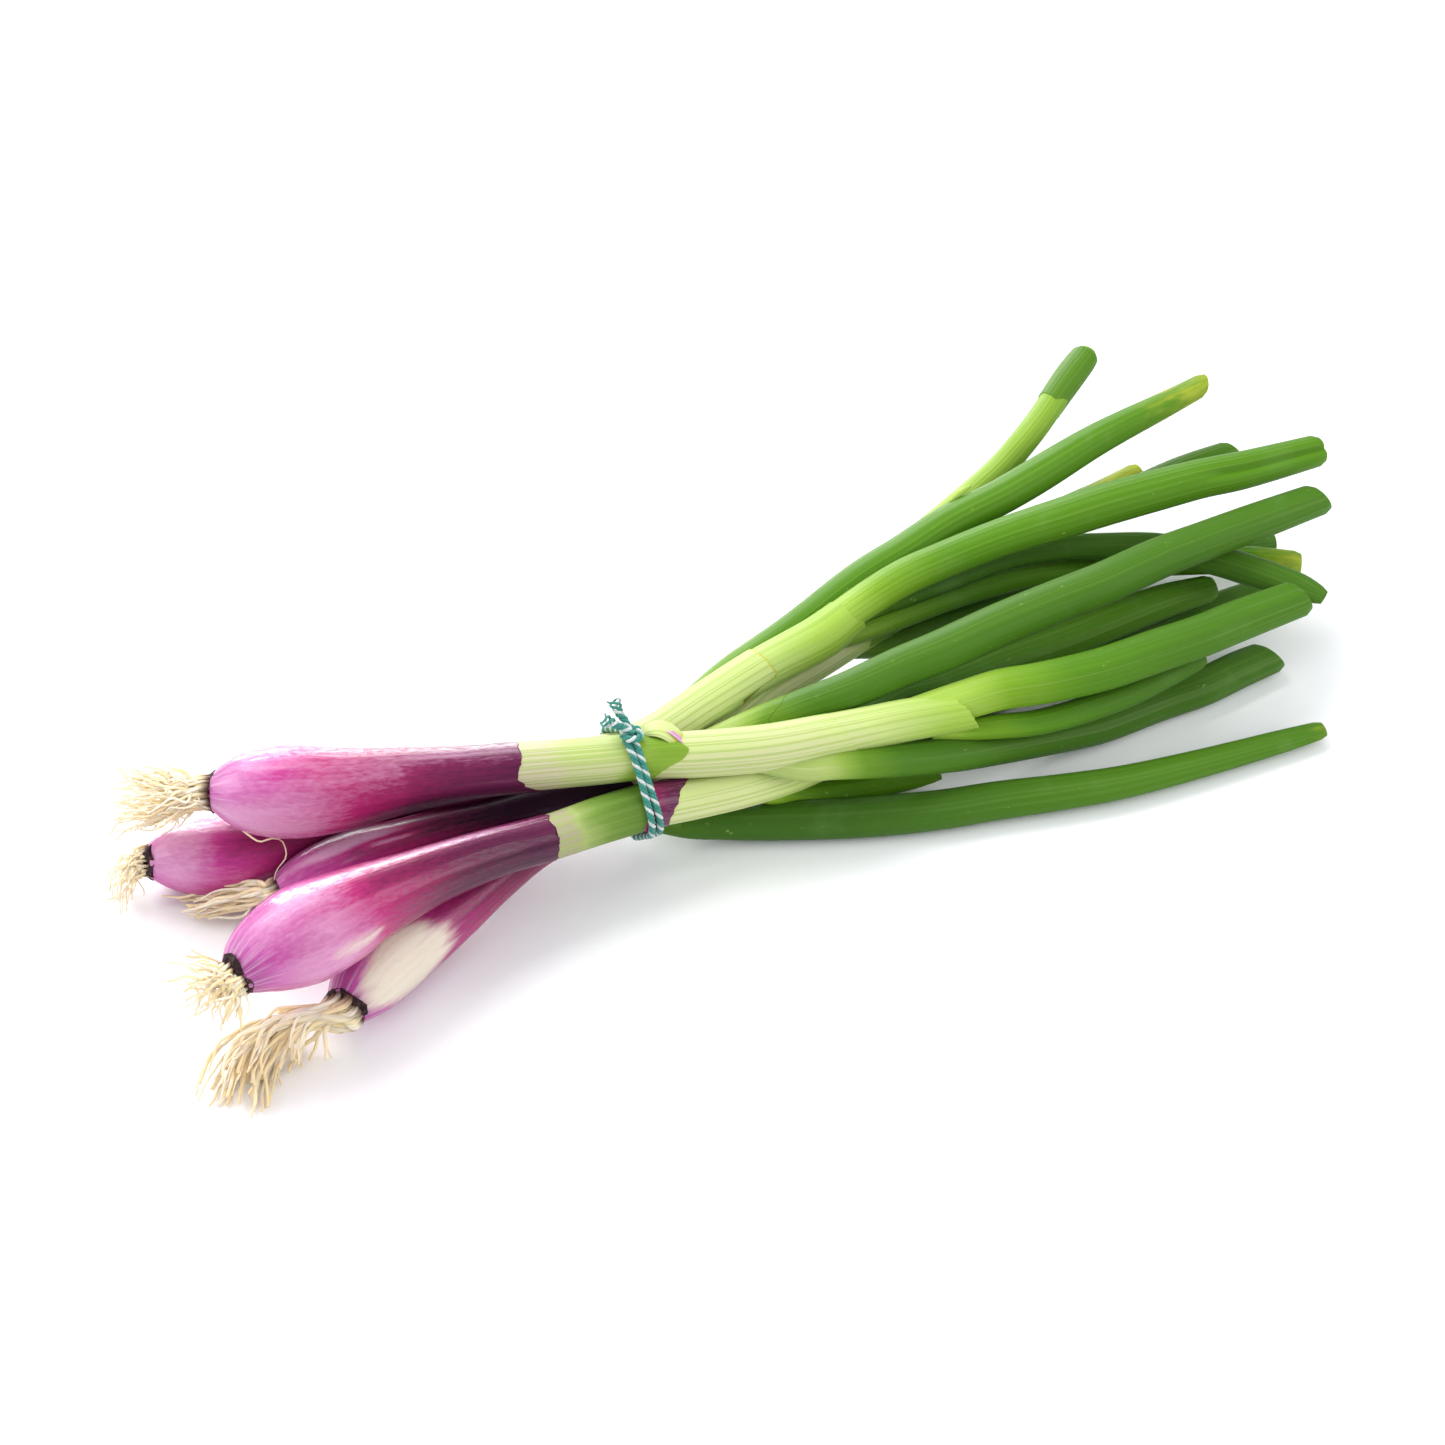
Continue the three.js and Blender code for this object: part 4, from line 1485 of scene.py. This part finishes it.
def upper_onion() -> Onion:
    """The onion across the top of the bunch.

    Returns:
        Its settings.
    """
    return Onion(
        key="a",
        # The pale patches turned 72° to 92° paint light along the top of the bulb and its neck; the deep
        # patch at -35° paints the shade under the raised bulb.
        bulb={"patches": ((0, 64, 20, 22, -0.85), (75, 30, 8, 12, -0.5), (72, 34, 42, 24, -0.45),
                          (-35, 50, 62, 36, 0.75), (84, 30, 88, 34, -0.4), (92, 16, 66, 14, -0.3)),
              "layer": (57.0, 0.16), "tongue": (-48, 30, 8.0)},
        stem={"pale_to": 185, "green_at": 236, "least": 0.1, "most": 0.34, "shade": 0.8, "mouth": 6,
              "cut": -4.0, "cut_turn": 135, "ragged": 1.1, "blush": 16},
        leaves={
            1: (((30, -38.4, 32.4, 6.1), (48, -38.4, 32.4, 6.3), (60, -39.8, 33.2, 6.6),
                 (72, -42.6, 33.3, 6.8), (93, -45, 33, 7), (114, -45, 33, 7), (129, -45, 33, 6.9),
                 (144, -44, 33, 6.8), (167, -43, 33, 6.2)),
                {"pale_to": 12, "green_at": 64, "least": 0.32, "shade": 0.8, "shade_far": 0.4,
                 "mouth": 5, "cut": -1.2, "cut_turn": 135,
                 "creases": ((95, 0.16, 14, 120, PAST_END),)}),
            2: (((36, -40, 26, 3.2), (48, -43, 24, 3.6), (57, -46, 24, 4), (71, -48, 22, 4.2),
                 (99, -48, 21, 4.4), (115, -45, 20, 4.3), (132, -42, 20, 3.8)),
                {"green_at": 40, "least": 0.4, "shade": 0.75, "shade_far": 0.3, "mouth": 4}),
            3: (((-42, -30, 36, 1.6), (-28, -32, 34, 3), (-18, -36, 31.5, 4), (-8, -41, 29.5, 4.6),
                 (0, -43, 29, 4.9), (12, -45, 26.5, 5.1), (23, -45, 23, 5.6), (44, -45, 17, 6),
                 (59, -44, 13, 6.2), (81, -44, 9, 6.4), (95, -44, 7, 6.4), (118, -42, 5.6, 6.4),
                 (134, -42, 5.6, 6.3), (150, -40, 5.6, 6.2), (162, -39, 5.5, 5.8)),
                {"pale_to": 38, "green_at": 72, "least": 0.14, "shade": 0.4, "shade_far": 0.15,
                 "mouth": 5, "cut": -2.4, "cut_turn": 135}),
        },
        roots={"reach": [(-187, 20, 38), (-196, 25, 35), (-204, 32, 31)], "spread": 10, "count": 120,
               "seed": 11, "thick": 0.44, "curl": 3.0,
               "strays": [((-179, 17, 36), (-175, 12, 32), (-170, 0, 31), (-162, -1, 27),
                           (-162, -2, 22), (-167, -5, 16))]},
        sheaths=(
            ("outer_sheath", 5.75, 8.05, 0.12,
             {"pale_to": 117, "green_at": 126, "least": 0.1, "most": 0.46, "shade": 0.6,
              "shade_far": 0.7, "tongue": (52, 46, 11.5), "ragged": 0.5, "rim": 0.2, "blush": 14}),
            ("inner_sheath", 8.1, 11.23, -0.08,
             {"pale_to": 170, "green_at": 236, "least": 0.08, "most": 0.3, "shade": 0.8, "cut": -3.4,
              "cut_turn": 135, "ragged": 0.3, "rim": 0.2}),
        ),
        scraps=(
            ("torn_curl", "onion_a_stem",
             ((-52.5, -21.0, 44.6, 1.0), (-50, -21.8, 45.7, 2.4), (-47.4, -23.4, 45.9, 2.9),
              (-45, -26, 44.9, 2.6), (-43.4, -29, 43.0, 1.7), (-42.6, -31.5, 41.2, 0.6)),
             {"sides": 30, "spacing": 0.3, "lumps": 0.5, "ribs": 0.6, "high": 0.3, "least": 0.12,
              "most": 0.06, "shade": 0.85, "dry": 0.16, "dry_tip": 0.95, "dry_reach": 9}),
            ("torn_lip", "onion_a_stem",
             ((-47.5, -23.4, 46.4, 0.4), (-45.4, -25.8, 45.8, 1.0), (-43.4, -28.6, 44.0, 0.9),
              (-41.8, -31.2, 41.8, 0.3)),
             {"sides": 18, "spacing": 0.3, "lumps": 0.7, "ribs": 0.5, "tone": -1.1, "shift": 0.2,
              "patches": ((60, 60, 4, 3, -0.6),)}),
        ),
    )


def back_left_onion() -> Onion:
    """The onion that lies on the table at the back on the left.

    Returns:
        Its settings.
    """
    return Onion(
        key="b",
        bulb={"shift": 0.08,
              "patches": ((60, 80, 9, 13, -0.9), (0, 40, 30, 12, -0.25), (40, 90, 74, 40, 0.45)),
              "layer": (27.0, 0.1)},
        stem={"pale_to": 165, "green_at": 236, "least": 0.06, "most": 0.36, "shade": 0.8, "mouth": 6,
              "cut": -2, "cut_turn": 135},
        leaves={
            1: (((24, 12, 31, 3.4), (38, 18, 31, 4), (57, 29, 27.6, 4.5), (72, 38, 27.7, 4.7),
                 (89, 43, 32, 4.7), (107, 48, 38, 4.6), (121, 53, 45, 4.5), (141, 66, 50, 4.4),
                 (153, 74, 52, 4)),
                {"green_at": 200, "least": 0.25, "most": 0.62, "shade": 0.74, "mouth": 4}),
            2: (((-50, -9, 28, 3), (-36, -3, 26.5, 4), (-24, 2, 27, 4.5), (-10, 7, 29, 4.8),
                 (13, 13, 31.4, 5.2), (41, 19, 38.6, 5.6), (57, 22, 40.6, 5.8), (76, 26, 43, 5.9),
                 (96, 28, 45.4, 6), (112, 31, 47, 6), (136, 36, 49.4, 5.4), (162, 40, 51, 4.5),
                 (180, 43, 52, 3.8)),
                {"pale_to": 0, "green_at": 80, "least": 0.35, "shade": 0.75, "mouth": 4, "cut": 2,
                 "cut_turn": 135, "dry_tip": 0.34, "dry_reach": 60, "pinch": 0.3}),
            3: (((18, 3.6, 35.8, 5.4), (34, 7.2, 39.2, 5.7), (51, 10, 42, 6), (65, 11, 43, 6.1),
                 (86, 10, 46, 6.3), (107, 8, 48, 6.8), (120, 7, 49, 7), (141, 5, 50, 6.9),
                 (155, 3, 51, 6.6), (169, 1, 51, 6.4), (198, -1, 51, 5.4)),
                {"green_at": 64, "least": 0.3, "shade": 0.85, "shade_far": 0.7, "mouth": 5,
                 "creases": ((52, 0.3, 13, 148, PAST_END),), "dry_tip": 0.12}),
            4: (((24, 5, 34, 3), (34, 7, 35, 3.1), (43, 9, 34, 3.2), (58, 10, 34, 3.4),
                 (73, 11, 34, 3.6), (88, 12, 34, 3.8), (108, 9, 34, 4.2), (121, 5, 33, 4.6),
                 (139, -3, 32, 5), (154, -16, 31, 5.2), (165, -28, 30, 5.2), (172, -35, 29, 4.6),
                 (177, -42, 28, 3)),
                {"green_at": 40, "least": 0.5, "shade": 0.1, "shade_far": 0.3, "mouth": 3,
                 "pinch": 0.5}),
            5: (((24, 4, 31, 3.4), (38, 6, 29, 3.8), (50, 9, 27, 4.4), (66, 11, 26, 4.6),
                 (81, 12, 25, 4.6), (95, 11, 25, 4.5), (109, 9, 24, 4.5), (122, 6, 23, 4.5),
                 (142, 0, 22, 4.6), (167, -9, 21, 4.8), (184, -18, 20, 4.4)),
                {"green_at": 60, "least": 0.4, "shade": 0.5, "shade_far": 0.8, "mouth": 3,
                 "dry_tip": 0.35}),
            6: (((-36, -17, 28, 3), (-28, -19, 30, 3.8), (-15, -21, 33, 4.8), (0, -22.5, 35.5, 5.4),
                 (14, -24.5, 38, 6), (34, -23, 39, 6.5), (47, -23, 40, 6.8), (69, -21, 41, 7),
                 (91, -20, 42, 7), (106, -20, 43, 7), (129, -17, 43, 6.8), (145, -16, 43, 6.5),
                 (168, -15, 43, 6.2), (191, -14, 43, 5.6)),
                {"pale_to": 14, "green_at": 48, "least": 0.32, "shade": 0.4, "shade_far": 0.34,
                 "mouth": 5, "cut": -1.6, "cut_turn": 135}),
        },
        roots={"reach": [(-203, 23, 11), (-208, 25, 7), (-211, 22, 3)], "spread": 7, "count": 36,
               "seed": 23, "thick": 0.42, "curl": 2.8},
        sheaths=(
            ("outer_sheath", 9.6, 12.05, 0.18,
             {"pale_to": 140, "green_at": 200, "least": 0.05, "most": 0.16, "shade": 0.8, "cut": -1.5,
              "cut_turn": 135, "lap": (8, 14.0), "ragged": 0.3, "rim": 0.6}),
        ),
        scraps=(
            ("leaf_6_sheath", "onion_b_leaf_6",
             ((-36, -17, 28, 3.2), (-28, -19, 30, 4), (-15, -21, 33, 5), (-4, -22, 34.8, 5.4)),
             {"spacing": 0.8, "least": 0.2, "most": 0.62, "pale_to": 12, "green_at": 36, "shade": 0.45,
              "ragged": 0.4, "tongue": (42, 40, -8.0), "rim": 0.1, "wide": 1.03, "high": 0.91}),
            ("leaf_1_fold", "onion_b_leaf_1",
             ((131, 59.6, 47.3, 4.8), (141, 66, 50, 5), (149, 71.2, 51.3, 4.8), (153.4, 74.2, 52, 4.2)),
             {"least": 0.85, "most": 0.95, "shade": 0.5, "start_cut": 1.6, "cut_turn": 135,
              "pinch": 0.25, "blunt": 0.3, "mouth": 3}),
            ("leaf_2_bud", "onion_b_leaf_2",
             ((79, 31.2, 47.0, 0.5), (83, 32.4, 48.2, 1.1), (87.5, 33.4, 48.9, 0.4)),
             {"sides": 14, "least": 0.3, "most": 0.3, "shade": 0.9, "dry": 0.1}),
        ),
    )


def middle_onion() -> Onion:
    """The onion in the middle, which the others nearly hide.

    Returns:
        Its settings.
    """
    return Onion(
        key="c",
        # The pale patches turned 82° and 58° are scuffed skin together with a painted highlight along
        # its ridge.
        bulb={"tone": 0.35, "shift": 0.06, "bare": ((124, 5, 46, 9, 0.62),),
              "patches": ((60, 60, 10, 14, -0.5), (60, 120, 104, 58, 0.8), (82, 17, 24, 20, -1.7),
                          (58, 8, 36, 10, -1.2))},
        # The stem's pale start and full shade paint light on it where it lies in the shade of the
        # others.
        stem={"pale_to": 190, "green_at": 250, "least": 0.06, "most": 0.5, "shade": 1.0, "mouth": 4},
        leaves={
            1: (((32, 10, 20, 4), (46, 16, 17, 4.1), (73, 24, 16, 4.2), (100, 32, 17, 4.2),
                 (125, 38, 20, 4.2), (142, 40, 21, 4), (158, 43, 22, 3.3)),
                {"green_at": 50, "least": 0.4, "shade": 0.75, "mouth": 3, "dry_tip": 0.45,
                 "dry_reach": 50}),
            2: (((32, 8, 22, 3.4), (46, 11, 22, 3.7), (69, 20, 21, 4.2), (93, 24, 24, 4.4),
                 (118, 26, 28, 4.5), (149, 27, 31, 4.5), (164, 28, 32, 4.5), (185, 28, 33, 4)),
                {"green_at": 50, "least": 0.4, "shade": 0.4, "mouth": 3, "cut": -1.6, "cut_turn": 135}),
            3: (((34, 9, 19, 3.6), (46, 12, 13, 4.1), (61, 14, 12, 4.5), (84, 15, 11, 4.5),
                 (107, 17, 11, 4.5), (130, 17, 11, 4.5), (151, 14, 10, 4.3), (171, 9, 10, 4),
                 (189, 4, 10, 3.4)),
                {"green_at": 50, "least": 0.5, "shade": 0.15, "mouth": 3}),
        },
        roots={"reach": [(-173, -2, 10), (-181, 2, 7), (-194, 8, 3)], "spread": 4.5, "count": 44,
               "seed": 37, "curl": 1.6},
    )


def front_onion() -> Onion:
    """The onion at the front, held up on its neighbour.

    Returns:
        Its settings.
    """
    return Onion(
        key="d",
        # The patch turned 80° paints a sheen on the upper bulb and the one at 106° paints the highlight
        # along the ridge of the neck.
        bulb={"patches": ((0, 55, 25, 18, -0.8), (80, 42, 22, 20, -0.7), (8, 52, 88, 44, 0.65),
                          (72, 26, 74, 40, 0.4), (106, 13, 66, 44, -0.8)),
              "bare": ((10, 13, 33, 9, 0.5),)},
        stem={"pale_to": 165, "green_at": 260, "least": 0.1, "most": 0.6, "shade": 0.85, "blush": 10},
        leaves={
            # Its shade rising from 0 to 0.5 paints the shade that it lies in under its neighbours.
            1: (((-12, -31, 19, 3), (2, -27, 18.5, 5), (13, -23.7, 18, 5.2), (38, -16, 18, 5.6),
                 (52, -17, 18, 5.8), (74, -15, 17, 6.1), (97, -14, 16.5, 6.2), (112, -13, 16.5, 6.2),
                 (136, -11, 16, 5.8), (155, -12, 16, 4.4)),
                {"green_at": 30, "least": 0.5, "shade": 0.0, "shade_far": 0.5, "mouth": 4}),
            2: (((2, -28, 15, 3.6), (12, -27, 11, 3.6), (36, -22, 7, 4.3), (74, -17, 4.5, 4.6),
                 (112, -15, 4.3, 4.6), (136, -13, 4.3, 4.6), (157, -10, 4.3, 4.6), (182, -9, 4.2, 3.8)),
                {"green_at": 30, "least": 0.5, "shade": 0.15, "mouth": 3}),
            3: (((-18, -33, 15, 3.6), (-8, -32, 9, 4), (3, -33, 6, 4.5), (20, -36, 5, 4.4),
                 (32, -39, 5, 3.2), (40, -41.5, 4.6, 1.0)),
                {"green_at": 30, "least": 0.5, "shade": 0.9, "mouth": 0}),
        },
        roots={"reach": [(-198, -54, 35), (-202, -53, 32), (-206, -51, 28)], "spread": 10, "count": 64,
               "seed": 41, "curl": 2.4},
        sheaths=(
            ("outer_sheath", 7.8, 9.95, 0.14,
             {"pale_to": 108, "green_at": 136, "least": 0.14, "most": 0.46, "shade": 0.0, "cut": 3.4,
              "cut_turn": 135, "ragged": 0.5, "rim": 0.15, "blush": 5}),
            ("purple_cuff", 9.75, 10.47, 0.08,
             {"patches": (), "shift": 0.22, "tone": -0.08, "ragged": 2.2, "cut": 4.5, "cut_turn": 135,
              "start_cut": 3.2}),
        ),
    )


def front_right_onion() -> Onion:
    """The onion that lies on the table at the front on the right.

    Returns:
        Its settings.
    """
    return Onion(
        key="e",
        bulb={"bare": ((32, 56, 20, 19, 1.0),),
              "patches": ((-20, 60, 45, 40, 0.2), (60, 70, 72, 40, 0.5))},
        stem={"pale_to": 90, "green_at": 140, "least": 0.4, "most": 0.9, "shade": 0.3},
        leaves={
            1: (((-58, -24, 13, 3.4), (-50, -26, 11, 4.6), (-41, -29, 8.4, 5.4), (-31, -32, 6.9, 5.8),
                 (-20, -36, 6, 6.2), (8, -47, 5.8, 6.6), (33, -55, 5.8, 6.4), (51, -59, 5.8, 6.2),
                 (70, -64, 5.8, 5.8), (89, -68, 5.5, 5.4), (116, -71, 5, 4.6), (145, -73, 4.5, 3.8),
                 (160, -74, 4.5, 3)),
                {"green_at": 30, "least": 0.6, "shade": 0.1, "shade_far": 0.5, "mouth": 3,
                 "pinch": 0.3, "dry_tip": 0.25, "dry_reach": 16}),
        },
        roots={"reach": [(-178, -56, 12), (-189, -55, 9), (-199, -59, 5), (-206, -68, 2.5)],
               "spread": 7.5, "count": 88, "seed": 53, "thick": 0.76, "curl": 1.3},
    )


# ---- studio -------------------------------------------------------------------------------------


@dataclass
class Studio:
    """White table, soft daylight from behind on the left, and the camera.

    Attributes:
        turn: Turn of the camera from looking along +Y, in degrees.
        lift: Height of the camera above the horizon, in degrees.
        reach: Distance from the camera to its target in metres.
        target: What it looks at, in metres.
        aim: What the lamps are turned to, in metres.
        table: Width of the table in metres.
        sky: Colour of the light from all round.
        sky_strength: How bright that light is.
    """

    turn: float = -25.0
    lift: float = 45.0
    reach: float = 1.066
    target: tuple[float, float, float] = (-0.00984, -0.00476, 0.02)
    aim: tuple[float, float, float] = (0.0, 0.0, 0.02)
    table: float = 6.0
    sky: Colour = (0.965, 0.98, 1.0, 1.0)
    sky_strength: float = 0.86

    def camera(self) -> None:
        """Place the camera."""
        data = bpy.data.cameras.new("camera")
        data.lens = 85
        data.sensor_width = 36
        data.clip_start, data.clip_end = 0.05, 20
        camera = bpy.data.objects.new("camera", data)
        bpy.context.collection.objects.link(camera)
        a, e = math.radians(self.turn), math.radians(self.lift)
        back = Vector((math.sin(a) * math.cos(e), -math.cos(a) * math.cos(e), math.sin(e)))
        camera.location = Vector(self.target) + back * self.reach
        camera.rotation_euler = (-back).to_track_quat("-Z", "Y").to_euler()
        bpy.context.scene.camera = camera

    def lamp(self, name: str, place: tuple[float, float, float], size: float, power: float,
             sheen_only: bool = False) -> None:
        """Add a square softbox aimed at the bunch.

        Args:
            name: Name of the lamp.
            place: Where it hangs, in metres, with x to the camera's right and y away from it.
            size: Width of the softbox in metres.
            power: Power in watts.
            sheen_only: Whether only reflections show it.
        """
        data = bpy.data.lights.new(name, "AREA")
        data.size, data.energy = size, power
        lamp = bpy.data.objects.new(name, data)
        lamp.visible_diffuse = not sheen_only
        bpy.context.collection.objects.link(lamp)
        turned = Matrix.Rotation(math.radians(self.turn), 4, "Z") @ Vector(place)
        lamp.location = turned
        lamp.rotation_euler = (Vector(self.aim) - turned).to_track_quat("-Z", "Y").to_euler()

    def build(self) -> None:
        """Make the table, the light and the sky."""
        deselect()
        bpy.ops.mesh.primitive_plane_add(size=self.table, location=(0, 0, 0))
        table = bpy.context.object
        table.name = "table_top"
        table.data.materials.append(TableTop().build())
        self.lamp("window", (-0.5, 1.5, 0.5), 1.2, 40, sheen_only=True)
        self.lamp("skylight", (-0.65, 0.9, 1.4), 1.4, 27)
        self.lamp("left_wall", (-1.6, -0.1, 0.6), 1.0, 9)
        self.lamp("fill", (1.3, -0.4, 0.9), 1.2, 11)
        world = bpy.data.worlds.new("bright_room")
        bpy.context.scene.world = world
        world.use_nodes = True
        background = world.node_tree.nodes["Background"]
        background.inputs["Color"].default_value = self.sky
        background.inputs["Strength"].default_value = self.sky_strength
        world.cycles_visibility.glossy = False
        bpy.context.scene.view_settings.view_transform = "Standard"


def stem_circles() -> list[tuple[float, float, float]]:
    """The stems where the twine goes round them.

    Returns:
        The (y, z, radius) of each.
    """
    circles = []
    for stations in ROUTES.values():
        route = Route(stations)
        best = min((route.at(route.length * k / 400) for k in range(401)),
                   key=lambda pose: abs(pose.point.x - Twine.middle))
        circles.append((best.point.y, best.point.z, best.radius))
    return circles


def main() -> None:
    """Build the bunch and the studio."""
    logging.basicConfig(level=logging.INFO, format="%(name)s: %(message)s")
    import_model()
    studio = Studio()
    studio.camera()
    skin = OnionSkin().build()
    green = GreenTissue().build()
    fibre = RootFibre().build()
    crust = RootCrust().build()
    for make in (upper_onion, back_left_onion, middle_onion, front_onion, front_right_onion):
        make().build(skin, green, fibre, crust)
    teal = TwineYarn("teal_yarn", "3aab9a", "1c6e63").build()
    white = TwineYarn("white_yarn", "eef5f2", "b9c9c4").build()
    Twine(stem_circles()).build({Ply.FIRST_TEAL: teal, Ply.SECOND_TEAL: teal, Ply.WHITE: white})
    studio.build()


if __name__ == "__main__":
    main()
